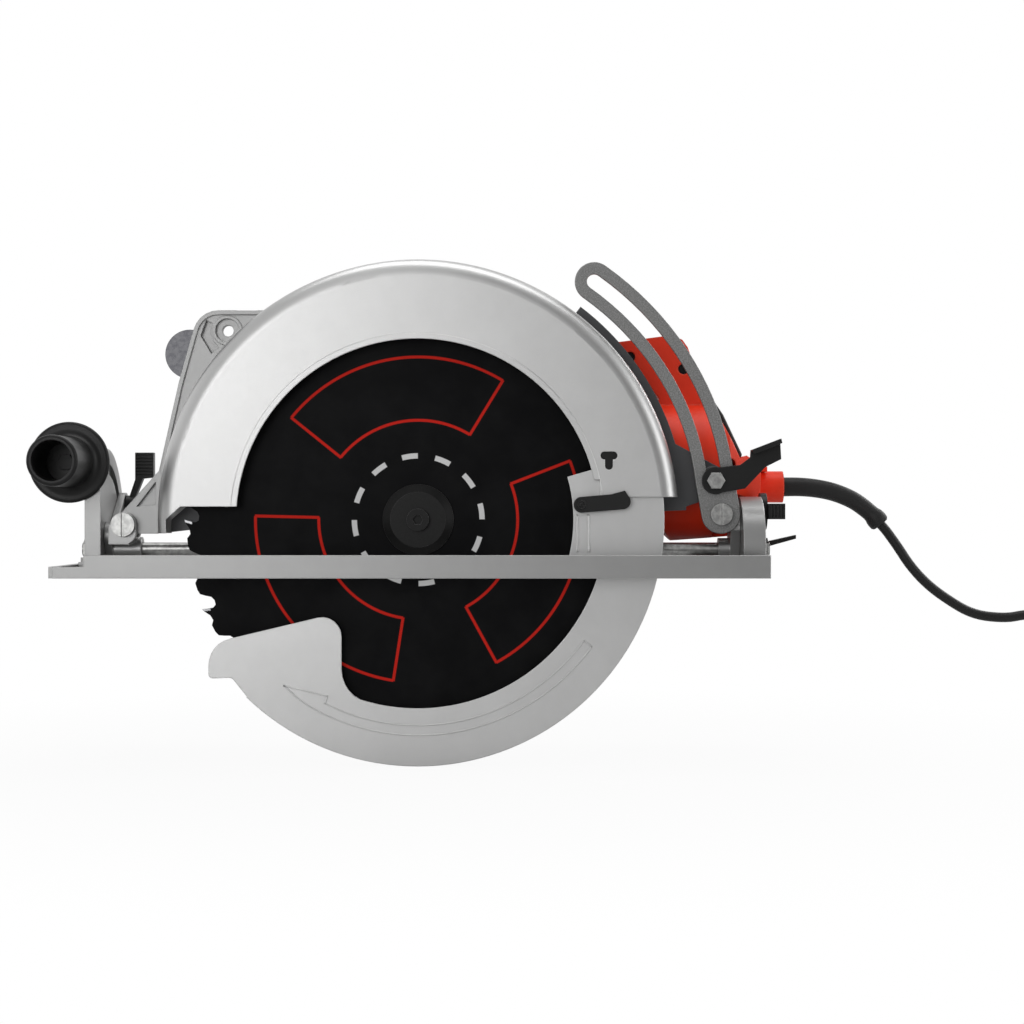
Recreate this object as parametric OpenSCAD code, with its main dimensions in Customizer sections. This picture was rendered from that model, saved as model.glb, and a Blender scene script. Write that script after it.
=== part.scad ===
// Worm drive circular saw, in millimetres
// +X runs to the rear of the saw, +Y to the motor side and +Z up
// The origin is on the sole, in the plane of the blade, under the depth pivot

/* [Blade] */
// Diameter over the carbide tips
blade_d = 414; // [404:1:420]
// Thickness of the blade plate
blade_t = 2.8; // [2.2:0.1:3.2]
// Number of teeth
tooth_count = 32; // [24:1:40]
// Width of the cut, across a carbide tip
kerf = 3.8; // [3.4:0.1:4.4]
// Bore of the blade
blade_bore_d = 25.4; // [24:0.1:27]
// Diameter of the clamping flanges
flange_d = 62.8; // [56:0.2:66]

/* [Layout] */
// Distance from the depth pivot back to the arbor
arbor_x = 261; // [258:0.5:264]
// Height of the arbor above the sole
arbor_z = 50.5; // [50:0.25:53]
// Height of the depth pivot above the sole
pivot_z = 46; // [44:0.5:48]
// Height of the bevel axis above the sole
bevel_z = 24; // [23:0.25:24.5]
// Distance of the bevel axis behind the blade
bevel_y = 28; // [27:0.5:30]
// Distance of the motor axis behind the blade
drive_y = 90; // [88:0.5:96]

/* [Guards] */
// Room between the carbide tips and the lower guard
tip_gap = 10; // [8:0.5:11]
// Wall of the cast guards
guard_wall = 3.5; // [2.5:0.25:4]
// Half the width of the upper guard
guard_half = 20; // [19.5:0.25:21]
// Radius of the window in the near face of the upper guard
window_r = 159; // [155:0.5:162]
// Radius of the rounded shoulder of the upper guard
shoulder_r = 15; // [12:0.5:16]

/* [Foot] */
// Length of the foot
foot_l = 623; // [615:1:635]
// Width of the foot
foot_w = 226; // [220:1:250]
// Thickness of the foot's floor
floor_t = 6; // [5:0.25:6.5]
// Height of the foot's rails
rail_h = 20; // [16:0.5:21]
// Thickness of the rails
rail_t = 7; // [5:0.25:8]

/* [Bevel frame] */
// Diameter of the bevel tie rod
tie_rod_d = 12; // [11:0.25:12.5]
// Radius of the front quadrant
front_quadrant_r = 90; // [86:0.5:94]
// Radius of the rear quadrant
rear_quadrant_r = 47; // [46:0.5:50]
// Diameter of the locking studs
stud_d = 10; // [8:0.25:11]

/* [Depth setting] */
// Distance of the depth bolt behind the depth pivot
depth_bolt_x = 524; // [521:0.5:526]
// Height of the depth bolt above the sole
depth_bolt_z = 85; // [84:0.25:88]
// Width of the slotted depth bracket
bracket_w = 34.5; // [32:0.5:37]
// Width of its slot
bracket_slot_w = 13; // [12.5:0.25:14]
// Thickness of the depth bracket
bracket_t = 5.7; // [4:0.1:5.8]

/* [Drive] */
// Module of the worm and wheel
gear_module = 3; // [2.8:0.05:3.05]
// Teeth on the worm wheel
wheel_teeth = 20; // [18:1:20]
// Width of the worm wheel
wheel_w = 20; // [16:0.5:22]
// Pitch radius of the worm
worm_pitch_r = 14; // [13.5:0.25:15]
// Diameter of the arbor shaft
shaft_d = 20; // [18:0.25:20.5]
// Diameter of the armature shaft
armature_shaft_d = 15; // [13:0.25:16]
// Radius of the motor housing
motor_r = 58; // [56:0.25:58.5]
// Wall of the motor housing
motor_wall = 5; // [4:0.25:6]
// Outer radius of the armature
armature_r = 29.5; // [27:0.25:31]

/* [Handles] */
// Width of the rear handle
handle_w = 36; // [32:0.5:40]
// Thickness of the rubber on the rear handle
rubber_t = 7; // [5:0.25:8]
// Diameter of the front grip
grip_d = 44; // [42:0.5:48]
// Bore of the front grip
grip_bore_d = 35; // [31:0.5:37]
// Reach of the front grip from its flange
grip_l = 80; // [70:1:90]
// Diameter of the grip's flange
grip_flange_d = 71.5; // [66:0.5:74]
// Length of the side handle
bar_l = 130; // [115:1:140]
// Diameter of the side handle's rubber grip
bar_grip_d = 36; // [32:0.5:40]

/* [Cord] */
// Diameter of the power cord
cord_d = 9; // [9:0.1:9]
// Turns of each layer of the cord's coil
coil_turns = 3.5; // [3.5:0.5:3.5]

/* [Hidden] */
$fn = 72;

// Fits and clearances
running_gap = 0.05;
face_gap = 0.3;
screw_gap = 0.1;

// Derived places and radii
arbor = [arbor_x, arbor_z];
blade_r = blade_d / 2;
lower_r = blade_r + tip_gap;
upper_r = lower_r + 9.5 + guard_wall;
lower_half = guard_half - guard_wall - 2.5;
plate_y0 = guard_half + 0.2;
plate_y1 = plate_y0 + 4.6;
tie_rod_r = tie_rod_d / 2;
bevel_axis = [bevel_y, bevel_z];
shaft_r = shaft_d / 2;
armature_shaft_r = armature_shaft_d / 2;
wheel_pitch_r = gear_module * wheel_teeth / 2;
gear_centre = worm_pitch_r + wheel_pitch_r;
drive_z = arbor_z + gear_centre;
drive_axis = [drive_y, drive_z];
gear_addendum = 0.87 * gear_module;
gear_dedendum = 1.13 * gear_module;
gear_cavity_r = wheel_pitch_r + gear_addendum + 1.6;
gear_r = arbor_z - floor_t - 4.5;
neck_r = arbor_z - bevel_z - tie_rod_r - 2.5;
neck_y0 = 8.2;
gear_y0 = plate_y1 + 13;
gear_y1 = drive_y + wheel_w / 2 + 22;
cover_t = 8;
flange_x0 = arbor_x + 44;
motor_x0 = flange_x0 + 12;
motor_x1 = motor_x0 + 161;

// Foot
foot_x0 = -56;
foot_x1 = foot_x0 + foot_l;
foot_y0 = -56;
foot_y1 = foot_y0 + foot_w;
lip_x = -25;
lip_h = 10;
slot_x0 = arbor_x - upper_r - 15;
slot_x1 = arbor_x + upper_r + 14;
slot_y0 = -34;
slot_y1 = 42;
quadrant_t = 14;
front_quadrant_x1 = -19;
front_quadrant_x0 = front_quadrant_x1 - quadrant_t;
rear_quadrant_x0 = foot_x1 - 19.5;
quadrant_base_t = 6;
front_stud_r = front_quadrant_r - 18;
front_stud_a = 32;
rear_stud_r = rear_quadrant_r - 11;
rear_stud_a = 70;
bevel_range = 45;
front_stud = bevel_axis + polar(front_stud_r, front_stud_a);
rear_stud = bevel_axis + polar(rear_stud_r, rear_stud_a);
stud_r = stud_d / 2;
stud_slot_gap = 0.4;
yoke_t = 6.2;
front_yoke_x0 = front_quadrant_x1 + face_gap;
clevis_half = 12.4;
pivot_boss_r = 11;
pivot_pin_r = 6;
ear_y0 = 0;
ear_t = 8;
arm_y0 = ear_y0 + ear_t + face_gap;
arm_y1 = guard_half;
far_ear_y0 = arm_y1 + face_gap;
far_ear_y1 = far_ear_y0 + ear_t;
rear_yoke_x1 = rear_quadrant_x0 - face_gap;
rear_yoke_x0 = rear_yoke_x1 - 8.5;

// Depth linkage: the bracket turns with the saw at a steady ratio, and its slot is the bolt's own path
pivot = [0, pivot_z];
depth_bolt_at = [depth_bolt_x, depth_bolt_z];
bracket_pivot = [depth_bolt_x + 5.5, depth_bolt_z - 29.8];
depth_range = 22.5;
bracket_ratio = 0.61;
bracket_y1 = arm_y0 - face_gap;
bracket_y0 = bracket_y1 - bracket_t;
lug_y0 = bracket_y1 + face_gap;
lug_y1 = lug_y0 + 12;
bracket_pin_r = 5;
depth_bolt_r = 5;
bolt_radius = norm(depth_bolt_at - pivot);
bolt_angle = atan2(depth_bolt_z - pivot_z, depth_bolt_x);
path_steps = 18;
slot_path = [for (i = [0 : path_steps]) slot_point(depth_range * i / path_steps)];

// Handle outline, seen from the side
bell_r = motor_r + 5.5;
bell_x0 = motor_x1 + 0.2;
bar_top = drive_z + motor_r + 63;
bar_low = drive_z + motor_r + 35;
handle_y0 = drive_y - handle_w / 2;
handle_y1 = drive_y + handle_w / 2;
slope_top = [bell_x0 + 37, bar_top - 35];
slope_mid = [bell_x0 + 60, bar_top - 69];
slope_low = [bell_x0 + 78, drive_z + 14];
cord_nose_z = drive_z - 14;
cord_nose_r = 14.5;
cord_nose_x1 = bell_x0 + 116;

// Side handle, front grip and lever places
bar_at = arbor + polar(upper_r + 22.9, 144.2);
bar_stud_at = bar_at + [10, -10.3];
lug_hole_at = arbor + polar(upper_r + 9, 135.3);
lug_hole_r = 5;
front_grip_at = [-46, 101];
fence_x = foot_x1 - 15;
fence_y = 120;

// Cord: the part that lies free runs along these points, from the sleeve to the coil
sleeve_route = [[594.5, 90, 80.5], [610, 90, 80.5], [626, 90, 79], [642, 90, 75.5], [658, 90, 69],
    [670, 90, 61], [679, 90, 53], [685, 90, 46]];
sleeve_radii = [8.8, 8.8, 8.6, 8.4, 8.2, 8.0, 7.8, 7.8];
cord_route = [[685, 90, 46], [691, 90, 39], [701, 90, 25], [711, 90, 10], [722, 90, -3], [734, 90, -14],
    [748, 90, -24], [763, 90, -33], [777, 90, -38], [792, 90, -40], [805, 90, -40], [818, 90, -38],
    [832, 90, -38], [846, 90, -42], [858, 90, -50], [868, 90, -61], [876, 90, -75], [883, 90, -91],
    [889, 90, -107], [897, 90, -123], [908, 90, -138], [922, 90, -150], [938, 90, -158], [955, 90, -160.5],
    [970, 90, -160.5]];
cord_r = cord_d / 2;
tie_t = 1.2;
coil_z0 = -160.5;
coil_pitch = cord_d + 0.7;
coil_rise = cord_d + 0.6;
coil_outer_r = 76;
coil_inner_r = coil_outer_r - coil_pitch * coil_turns;
coil_centre = [970 + cord_d, 90 + coil_outer_r];
coil_rings = 24;
coil_sides = 6;
plug_tail = 62;
plug_l = 46;
plug_r = 13;

// Points and paths
function polar(r, a) = [r * cos(a), r * sin(a)];
function turn(p, a) = [p[0] * cos(a) - p[1] * sin(a), p[0] * sin(a) + p[1] * cos(a)];
function slot_point(a) = bracket_pivot
    + turn(pivot + polar(bolt_radius, bolt_angle + a) - bracket_pivot, bracket_ratio * a);
function unit(v) = v / norm(v);
function tangent(path, i) = unit(path[min(i + 1, len(path) - 1)] - path[max(i - 1, 0)]);
function beside(path, i, d) = let (t = tangent(path, i)) path[i] + d * [-t[1], t[0]];
function heading(path, i) = let (t = tangent(path, i)) atan2(t[1], t[0]);

// A polygon from its corners, each with the radius that rounds it
function corner_arc(a, b, c, r) = let (u = unit(a - b), v = unit(c - b), half = acos(u * v) / 2,
    centre = b + unit(u + v) * r / sin(half), reach = r / tan(half), p = b + u * reach - centre,
    q = b + v * reach - centre, start = atan2(p[1], p[0]),
    swing = (atan2(q[1], q[0]) - start + 540) % 360 - 180)
    r == 0 ? [b] : [for (i = [0 : 6]) centre + polar(r, start + swing * i / 6)];
function rounded(corners, radii) = let (n = len(corners)) [for (i = [0 : n - 1])
    each corner_arc(corners[(i + n - 1) % n], corners[i], corners[(i + 1) % n], radii[i])];
function round_ribbon(path, half) = let (n = len(path) - 1) concat(
    [for (i = [0 : n]) beside(path, i, half)],
    [for (k = [1 : 23]) path[n] + polar(half, heading(path, n) + 90 - 7.5 * k)],
    [for (i = [n : -1 : 0]) beside(path, i, -half)],
    [for (k = [1 : 23]) path[0] + polar(half, heading(path, 0) - 90 - 7.5 * k)]);

// A ring of points round a path point, in a frame that never twists about a mostly flat path
function ring(c, t, r, sides, phase) =
    let (side = unit(cross(t, abs(t[1]) > 0.9 ? [0, 0, 1] : [0, 1, 0])), up = cross(side, t))
    [for (k = [0 : sides - 1]) c + r * (cos(phase + 360 * k / sides) * side + sin(phase + 360 * k / sides)
        * up)];
function flat_ring(c, t, r, sides) =
    let (side = unit(cross(t, [0, 0, 1])), up = cross(side, t))
    [for (k = [0 : sides - 1]) c + r * (cos(360 * k / sides) * side + sin(360 * k / sides) * up)];
function tube_faces(rings, sides) = concat(
    [for (k = [1 : sides - 2]) [0, k, k + 1]],
    [for (i = [0 : rings - 2]) for (k = [0 : sides - 1]) let (a = i * sides + k, b = i * sides + (k + 1)
        % sides)
        each [[a, a + sides, b], [b, a + sides, b + sides]]],
    [for (k = [1 : sides - 2]) let (o = (rings - 1) * sides) [o, o + k + 1, o + k]]);

// Coil: in along the lower layer, a climb in the half turn at the middle, and out along the upper one
coil_half = 360 * coil_turns;
function coil_radius(a) = coil_inner_r + coil_pitch * abs(a - coil_half) / 360;
function coil_height(a) = coil_z0 + coil_rise * min(1, max(0, (a - coil_half + 90) / 180));
function coil_point(a) = [coil_centre[0] + coil_radius(a) * cos(a - 90), coil_centre[1] + coil_radius(a)
    * sin(a - 90),
    coil_height(a)];
coil_body = [for (i = [0 : coil_rings * coil_turns * 2]) coil_point(i * 360 / coil_rings)];
coil_end_a = 2 * coil_half - 90;
coil_out = [cos(coil_end_a + 90), sin(coil_end_a + 90), 0];
coil_last = coil_body[len(coil_body) - 1];
coil_path = concat([coil_body[0] - [cord_d, 0, 0]], coil_body, [coil_last + plug_tail * coil_out]);
function coil_tangent(i) = i <= 1 ? [1, 0, 0] : i >= len(coil_path) - 2 ? coil_out : tangent(coil_path, i);
coil_gap = min([for (i = [0 : len(coil_body) - 1]) for (j = [i + coil_rings / 2 : 1 : len(coil_body) - 1])
    norm(coil_body[i] - coil_body[j])]) - cord_d;
echo(coil_gap = coil_gap);

// Drawing planes: side views are drawn in X and Z, end views in Y and Z
module side(y0, y1) {
    translate([0, y1, 0]) rotate([90, 0, 0]) linear_extrude(y1 - y0) children();
}

module end(x0, x1) {
    translate([x0, 0, 0]) rotate([90, 0, 90]) linear_extrude(x1 - x0) children();
}

module y_rod(at, r, y0, y1) {
    translate([at[0], y1, at[1]]) rotate([90, 0, 0]) cylinder(r = r, h = y1 - y0);
}

module x_rod(at, r, x0, x1) {
    translate([x0, at[0], at[1]]) rotate([0, 90, 0]) cylinder(r = r, h = x1 - x0);
}

module x_cone(at, r0, r1, x0, x1) {
    translate([x0, at[0], at[1]]) rotate([0, 90, 0]) cylinder(r1 = r0, r2 = r1, h = x1 - x0);
}

module y_hex(at, r, y0, y1) {
    translate([at[0], y1, at[1]]) rotate([90, 0, 0]) cylinder(r = r, h = y1 - y0, $fn = 6);
}

module x_hex(at, r, x0, x1) {
    translate([x0, at[0], at[1]]) rotate([0, 90, 0]) cylinder(r = r, h = x1 - x0, $fn = 6);
}

// A body turned about an axis along Y, drawn as radius and Y
module turned(at) {
    translate([at[0], 0, at[1]]) rotate([-90, 0, 0]) rotate_extrude($fn = 180) children();
}

module box(low, high) {
    translate(low) cube(high - low);
}

module stadium(a, b, r) polygon(round_ribbon([a, b], r));

module rounded(low, high, r) {
    translate(low + [r, 0]) square(high - low - [2 * r, 0]);
    translate(low + [0, r]) square(high - low - [0, 2 * r]);
    for (x = [low[0] + r, high[0] - r]) for (y = [low[1] + r, high[1] - r]) translate([x, y]) circle(r);
}

module ring_2d(outer, inner) {
    difference() {
        circle(outer);
        circle(inner);
    }
}

// An arc slot about the bevel axis, in the end view
module arc_slot(r, a0, a1, half) {
    steps = 24;
    polygon(round_ribbon([for (i = [0 : steps]) bevel_axis + polar(r, a0 + (a1 - a0) * i / steps)], half));
}

module slotted_head(at, r, y0, y1) {
    difference() {
        y_rod(at, r, y0, y1);
        box([at[0] - 1.2, y0 - 1, at[1] - 2 * r], [at[0] + 1.2, y0 + 1.8, at[1] + 2 * r]);
    }
}

module tube(path, radii, sides) {
    rings = [for (i = [0 : len(path) - 1]) ring(path[i], tangent(path, i), radii[i], sides, 180 / sides)];
    polyhedron(points = [for (r = rings) each r], faces = tube_faces(len(path), sides));
}

// Foot
module foot_plate() color("silver") difference() {
    union() {
        box([foot_x0 + 4, foot_y0, 0], [foot_x1, foot_y1, floor_t]);
        box([foot_x0, foot_y0 + 4, 0], [foot_x1, foot_y1 - 4, floor_t]);
        for (y = [foot_y0, foot_y1 - rail_t]) {
            box([lip_x, y, 0], [foot_x1, y + rail_t, rail_h]);
            box([foot_x0 + 4, y, 0], [lip_x + 1, y + rail_t, lip_h]);
        }
        box([foot_x0, foot_y0 + 4, 0], [foot_x0 + rail_t, foot_y1 - 4, lip_h]);
        for (x = [slot_x0 - 4, slot_x1]) box([x, slot_y0, 0], [x + 4, slot_y1, floor_t + 3]);
        box([slot_x0 - 4, slot_y1, 0], [slot_x1 + 4, slot_y1 + 4, floor_t + 3]);
        for (x = [120, 270, 420]) box([x, slot_y1 + 4, 0], [x + 5, foot_y1 - rail_t, floor_t + 2]);
        fence_boss();
    }
    box([slot_x0, slot_y0, -1], [slot_x1, slot_y1, rail_h]);
    fence_slot();
    box([arbor_x - gear_r - 11, slot_y1 + 5, floor_t + 2.5],
        [arbor_x + gear_r + 11, gear_y1 + cover_t + 9, rail_h + 1]);
    translate([0, 0, -1]) for (p = quadrant_bolt_places) translate(p)
        cylinder(r = bolt_r + screw_gap, h = floor_t + 2);
    translate([fence_x, fence_y, floor_t]) cylinder(r = fence_screw_r + running_gap, h = rail_h + 10);
}

fence_screw_r = 4;
fence_boss_h = rail_h + 2;
fence_bar = [24, 6];

module fence_boss() {
    translate([fence_x, fence_y, 0]) cylinder(r = 14.5, h = fence_boss_h);
}

module fence_slot() {
    box([fence_x - fence_bar[0] / 2, fence_y - 40, floor_t + 1],
        [fence_x + fence_bar[0] / 2, foot_y1 + 1, floor_t + 1 + fence_bar[1]]);
}

bolt_r = 3;
quadrant_bolt_places = [[-43, 58], [-43, 98], [rear_quadrant_x0 - 13, 78], [foot_x1 - 10, 88]];

module front_quadrant() color("silver") difference() {
    union() {
        end(front_quadrant_x0, front_quadrant_x1) intersection() {
            translate(bevel_axis) circle(front_quadrant_r, $fn = 180);
            translate([-8, floor_t]) square([2 * front_quadrant_r, 2 * front_quadrant_r]);
        }
        box([foot_x0 + rail_t + 0.5, 44, floor_t], [front_quadrant_x0 + 1, 112, floor_t + quadrant_base_t]);
        y_rod(front_grip_at, 15, -8, 30);
        box([front_grip_at[0], -8, front_grip_at[1] - 15], [front_quadrant_x0 + 1, 30, front_grip_at[1] + 3]);
    }
    end(front_quadrant_x0 - 1, front_quadrant_x1 + 1) {
        translate(bevel_axis) circle(tie_rod_r + running_gap);
        arc_slot(front_stud_r, front_stud_a - 3, front_stud_a + bevel_range + 3, stud_r + stud_slot_gap);
    }
    y_rod(front_grip_at, grip_bolt_r + screw_gap, -9, 31);
    translate([0, 0, floor_t - 1]) for (p = [quadrant_bolt_places[0], quadrant_bolt_places[1]])
        translate(p) cylinder(r = bolt_r + screw_gap, h = 30);
}

module rear_quadrant() color("silver") difference() {
    union() {
        end(rear_quadrant_x0, foot_x1) intersection() {
            translate(bevel_axis) circle(rear_quadrant_r, $fn = 180);
            translate([-100, floor_t]) square([300, 200]);
        }
        box([rear_quadrant_x0 - 22, 66, floor_t], [foot_x1 - 2, 96, floor_t + quadrant_base_t]);
    }
    end(rear_quadrant_x0 - 1, foot_x1 + 1) {
        translate(bevel_axis) circle(tie_rod_r + running_gap);
        arc_slot(rear_stud_r, rear_stud_a - 3, rear_stud_a + bevel_range + 3, stud_r + stud_slot_gap);
    }
    translate([0, 0, floor_t - 1]) for (p = [quadrant_bolt_places[2], quadrant_bolt_places[3]])
        translate(p) cylinder(r = bolt_r + screw_gap, h = 30);
}

module quadrant_bolts() color("gainsboro") for (p = quadrant_bolt_places) translate([p[0], p[1], 0]) {
    translate([0, 0, 1]) cylinder(r = bolt_r, h = floor_t + quadrant_base_t);
    translate([0, 0, floor_t + quadrant_base_t]) cylinder(r = 2 * bolt_r, h = 4, $fn = 6);
}

grip_bolt_r = 4;
grip_y1 = -8;
grip_floor = 16;

module front_grip() color([0.1, 0.1, 0.1]) difference() {
    turned(front_grip_at) difference() {
        union() {
            translate([0, grip_y1 - 6]) square([grip_flange_d / 2 - 3, 6]);
            translate([grip_flange_d / 2 - 3, grip_y1 - 3]) circle(3);
            translate([0, grip_y1 - grip_l + 3]) square([grip_d / 2, grip_l - 4]);
            translate([0, grip_y1 - grip_l]) square([grip_d / 2 - 3, 4]);
            translate([grip_d / 2 - 3, grip_y1 - grip_l + 3]) circle(3);
            difference() {
                translate([0, grip_y1 - 13.9]) square([grip_d / 2 + 8, 8]);
                translate([grip_d / 2 + 8, grip_y1 - 14]) circle(8);
            }
        }
        translate([-1, grip_y1 - grip_l - 1]) square([grip_bore_d / 2 + 1, grip_l + 1 - grip_floor]);
        translate([-100, -200]) square([100, 400]);
    }
    y_rod(front_grip_at, grip_bolt_r + screw_gap, -60, 0);
}

module grip_bolt() color("gainsboro") {
    y_rod(front_grip_at, grip_bolt_r, grip_y1 - grip_floor - 1, 26);
    y_hex(front_grip_at, 7.5, grip_y1 - grip_floor - 5, grip_y1 - grip_floor);
}

module fence_lever() color([0.1, 0.1, 0.1]) {
    z0 = fence_boss_h + face_gap;
    translate([fence_x, fence_y, floor_t + 1 + fence_bar[1] + 1])
        cylinder(r = fence_screw_r, h = z0 - floor_t - 7);
    translate([fence_x, fence_y, z0]) cylinder(r = 10, h = 6);
    translate([0, fence_y + 5, 0]) rotate([90, 0, 0]) linear_extrude(10)
        polygon([[fence_x, z0], [fence_x + 22, z0], [fence_x + 58, z0 + 10], [fence_x + 58, z0 + 13.5],
            [fence_x + 20, z0 + 5], [fence_x, z0 + 5]]);
}

// Bevel frame, which tilts on the foot
module front_yoke() color("darkgray") difference() {
    union() {
        end(front_yoke_x0, front_yoke_x0 + yoke_t) {
            stadium(bevel_axis, front_stud, 13);
            stadium(bevel_axis, bevel_axis + [-8, 12], 12.5);
        }
        side(ear_y0, far_ear_y1) {
            stadium([0, bevel_z + 15.5], pivot, pivot_boss_r);
            translate([front_yoke_x0 + yoke_t - 1, bevel_z + 4.5]) square([18, pivot_z - bevel_z - 4.5]);
        }
        x_rod(bevel_axis, 11, front_yoke_x0 + 1, clevis_half);
    }
    side(arm_y0 - face_gap, far_ear_y0) translate([-pivot_boss_r - 0.6, pivot_z - pivot_boss_r - 0.6])
        square(60);
    y_rod(pivot, pivot_pin_r + running_gap, -1, 60);
    x_rod(bevel_axis, tie_rod_r + screw_gap, -60, 60);
    x_rod(front_stud, stud_r + screw_gap, -60, 60);
}

module rear_yoke() color("darkgray") difference() {
    union() {
        end(rear_yoke_x0, rear_yoke_x1)
            polygon([bevel_axis + [-11, -6], bevel_axis + [-6, -11], bevel_axis + [6, -11],
            bevel_axis + [11, -6], rear_stud + [11, -3], rear_stud + [9, 8], rear_stud + [-4, 11],
            [lug_y0 + 1, bracket_pivot[1] + 7], [lug_y0 + 1, bracket_pivot[1] - 14]]);
        y_rod(bracket_pivot, 9.5, lug_y0, lug_y1);
        box([bracket_pivot[0], lug_y0, bracket_pivot[1] - 8],
            [rear_yoke_x0 + 4, lug_y1, bracket_pivot[1] + 6]);
        x_rod(bevel_axis, tie_rod_r + 4, rear_yoke_x0 - 10, rear_yoke_x0 + 1);
    }
    y_rod(bracket_pivot, bracket_pin_r + screw_gap, -60, 60);
    x_rod(bevel_axis, tie_rod_r + screw_gap, 500, 700);
    x_rod(rear_stud, stud_r + screw_gap, 500, 700);
}

module tie_rod() color("gainsboro") {
    x_rod(bevel_axis, tie_rod_r, front_quadrant_x0 - 8, foot_x1 + 8);
    x_hex(bevel_axis, tie_rod_r + 4, front_quadrant_x0 - 6.5, front_quadrant_x0 - face_gap);
    x_hex(bevel_axis, tie_rod_r + 4, foot_x1 + face_gap, foot_x1 + 6.5);
}

module depth_pivot_bolt() color("gainsboro") {
    slotted_head(pivot, 10.6, ear_y0 - 6, ear_y0);
    y_rod(pivot, pivot_pin_r, ear_y0 - 2, far_ear_y1 + 8);
    y_hex(pivot, 10, far_ear_y1, far_ear_y1 + 7);
}

module bracket_screw() color("gainsboro") {
    slotted_head(bracket_pivot, 9.6, bracket_y0 - face_gap - 6, bracket_y0 - face_gap);
    y_rod(bracket_pivot, bracket_pin_r, bracket_y0 - 2, lug_y1 + 1);
}

module bevel_studs() color("gainsboro") {
    x_rod(front_stud, stud_r, front_quadrant_x0 - 5, front_lever_x0 + 11);
    x_hex(front_stud, 1.8 * stud_r, front_quadrant_x0 - 6, front_quadrant_x0 - face_gap);
    x_rod(rear_stud, stud_r, rear_yoke_x0 - 4, rear_lever_x0 + 8);
    x_hex(rear_stud, 1.8 * stud_r, rear_yoke_x0 - 6, rear_yoke_x0);
}

front_lever_x0 = front_yoke_x0 + yoke_t + 0.2;
rear_lever_x0 = foot_x1 + face_gap;
pad_grooves = 7;

module front_bevel_lever() color([0.1, 0.1, 0.1]) difference() {
    union() {
        x_rod(front_stud, 10.5, front_lever_x0, front_lever_x0 + 9);
        translate([0, front_stud[0] + 5, 0]) rotate([90, 0, 0]) linear_extrude(10)
            polygon([[front_lever_x0, front_stud[1]], [front_lever_x0 + 5, front_stud[1]],
                [front_lever_x0 + 15.5, front_stud[1] + 26], [front_lever_x0 + 25.5, front_stud[1] + 27],
                [front_lever_x0 + 25.5, front_stud[1] + 50], [front_lever_x0 + 8.5, front_stud[1] + 50],
                [front_lever_x0 + 8.5, front_stud[1] + 25]]);
    }
    x_rod(front_stud, stud_r + running_gap, front_lever_x0 - 1, front_lever_x0 + 12);
    for (i = [0 : pad_grooves - 1]) let (z = front_stud[1] + 28.4 + 3 * i)
        box([front_lever_x0 + 9.5, front_stud[0] - 6, z],
            [front_lever_x0 + 24.5, front_stud[0] - 4, z + 1.4]);
}

module rear_bevel_lever() color([0.1, 0.1, 0.1]) difference() {
    union() {
        x_rod(rear_stud, 16.6, rear_lever_x0, rear_lever_x0 + 6);
        box([rear_lever_x0 + 5, rear_stud[0] - 30, rear_stud[1] - 7],
            [rear_lever_x0 + 20, rear_stud[0] + 7, rear_stud[1] + 7]);
    }
    x_rod(rear_stud, stud_r + running_gap, rear_lever_x0 - 1, rear_lever_x0 + 9);
    for (i = [0 : 3]) box([rear_lever_x0 + 8 + 3 * i, rear_stud[0] - 31, rear_stud[1] - 6],
        [rear_lever_x0 + 9.5 + 3 * i, rear_stud[0] - 28.5, rear_stud[1] + 6]);
}

module depth_bracket() color("dimgray") difference() {
    side(bracket_y0, bracket_y1) polygon(round_ribbon(concat([bracket_pivot], slot_path), bracket_w / 2));
    side(bracket_y0 - 1, bracket_y1 + 1) polygon(round_ribbon(slot_path, bracket_slot_w / 2));
    y_rod(bracket_pivot, bracket_pin_r + running_gap, -20, 40);
}

module depth_bolt() color("gainsboro") {
    y_rod(depth_bolt_at, depth_bolt_r, depth_lever_y0 - 1, plate_y1 - 1);
    y_rod(depth_bolt_at, 9, plate_y1 - 4, plate_y1);
    difference() {
        y_hex(depth_bolt_at, 8, depth_lever_y0 - 6, depth_lever_y0 - 0.2);
        y_rod(depth_bolt_at, depth_bolt_r, depth_lever_y0 - 1, depth_lever_y0 + 3);
    }
}

depth_lever_y1 = bracket_y0 - face_gap;
depth_lever_y0 = depth_lever_y1 - 6;

module depth_lever() color([0.1, 0.1, 0.1]) difference() {
    union() {
        y_rod(depth_bolt_at, 12, depth_lever_y0, depth_lever_y1);
        side(depth_lever_y0, depth_lever_y0 + 3.5) polygon([for (p = [[2, -11], [26, -7], [44, 12],
            [58, 19], [57, 32],
            [44, 31], [22, 14], [-3, 11]]) depth_bolt_at + p]);
        side(depth_lever_y0 - 9, depth_lever_y0 + 1) polygon([for (p = [[31, 27], [57, 37], [58, 33],
            [33, 23.5]])
            depth_bolt_at + p]);
        side(depth_lever_y0, depth_lever_y0 + 3.5) polygon([for (p = [[31, 27], [57, 37], [58, 19], [30, 12]])
            depth_bolt_at + p]);
    }
    y_rod(depth_bolt_at, depth_bolt_r + running_gap, -60, 60);
}

// Guards
front_end_z = 11.5;
rear_end_z = 20;
web_corner = arbor + [-177.8, 163.1];
web_corner_r = 23.2;
web_top = web_corner[1] + web_corner_r;
web_rim = [2.3, 1.8, 3];

// The web's outer edge, from the top of the guard down to the arm, drawn some way in from that edge
function web_edge(inset) = concat([[arbor_x - 137, web_top - inset]],
    [for (a = [90 : 15 : 165]) web_corner + polar(web_corner_r - inset, a)],
    [for (p = [[-213.5, 121.4], [-223.3, 77.8]]) arbor + p + [inset, 0]], [[30 + 1.4 * inset, pivot_z + 48]]);

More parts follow.
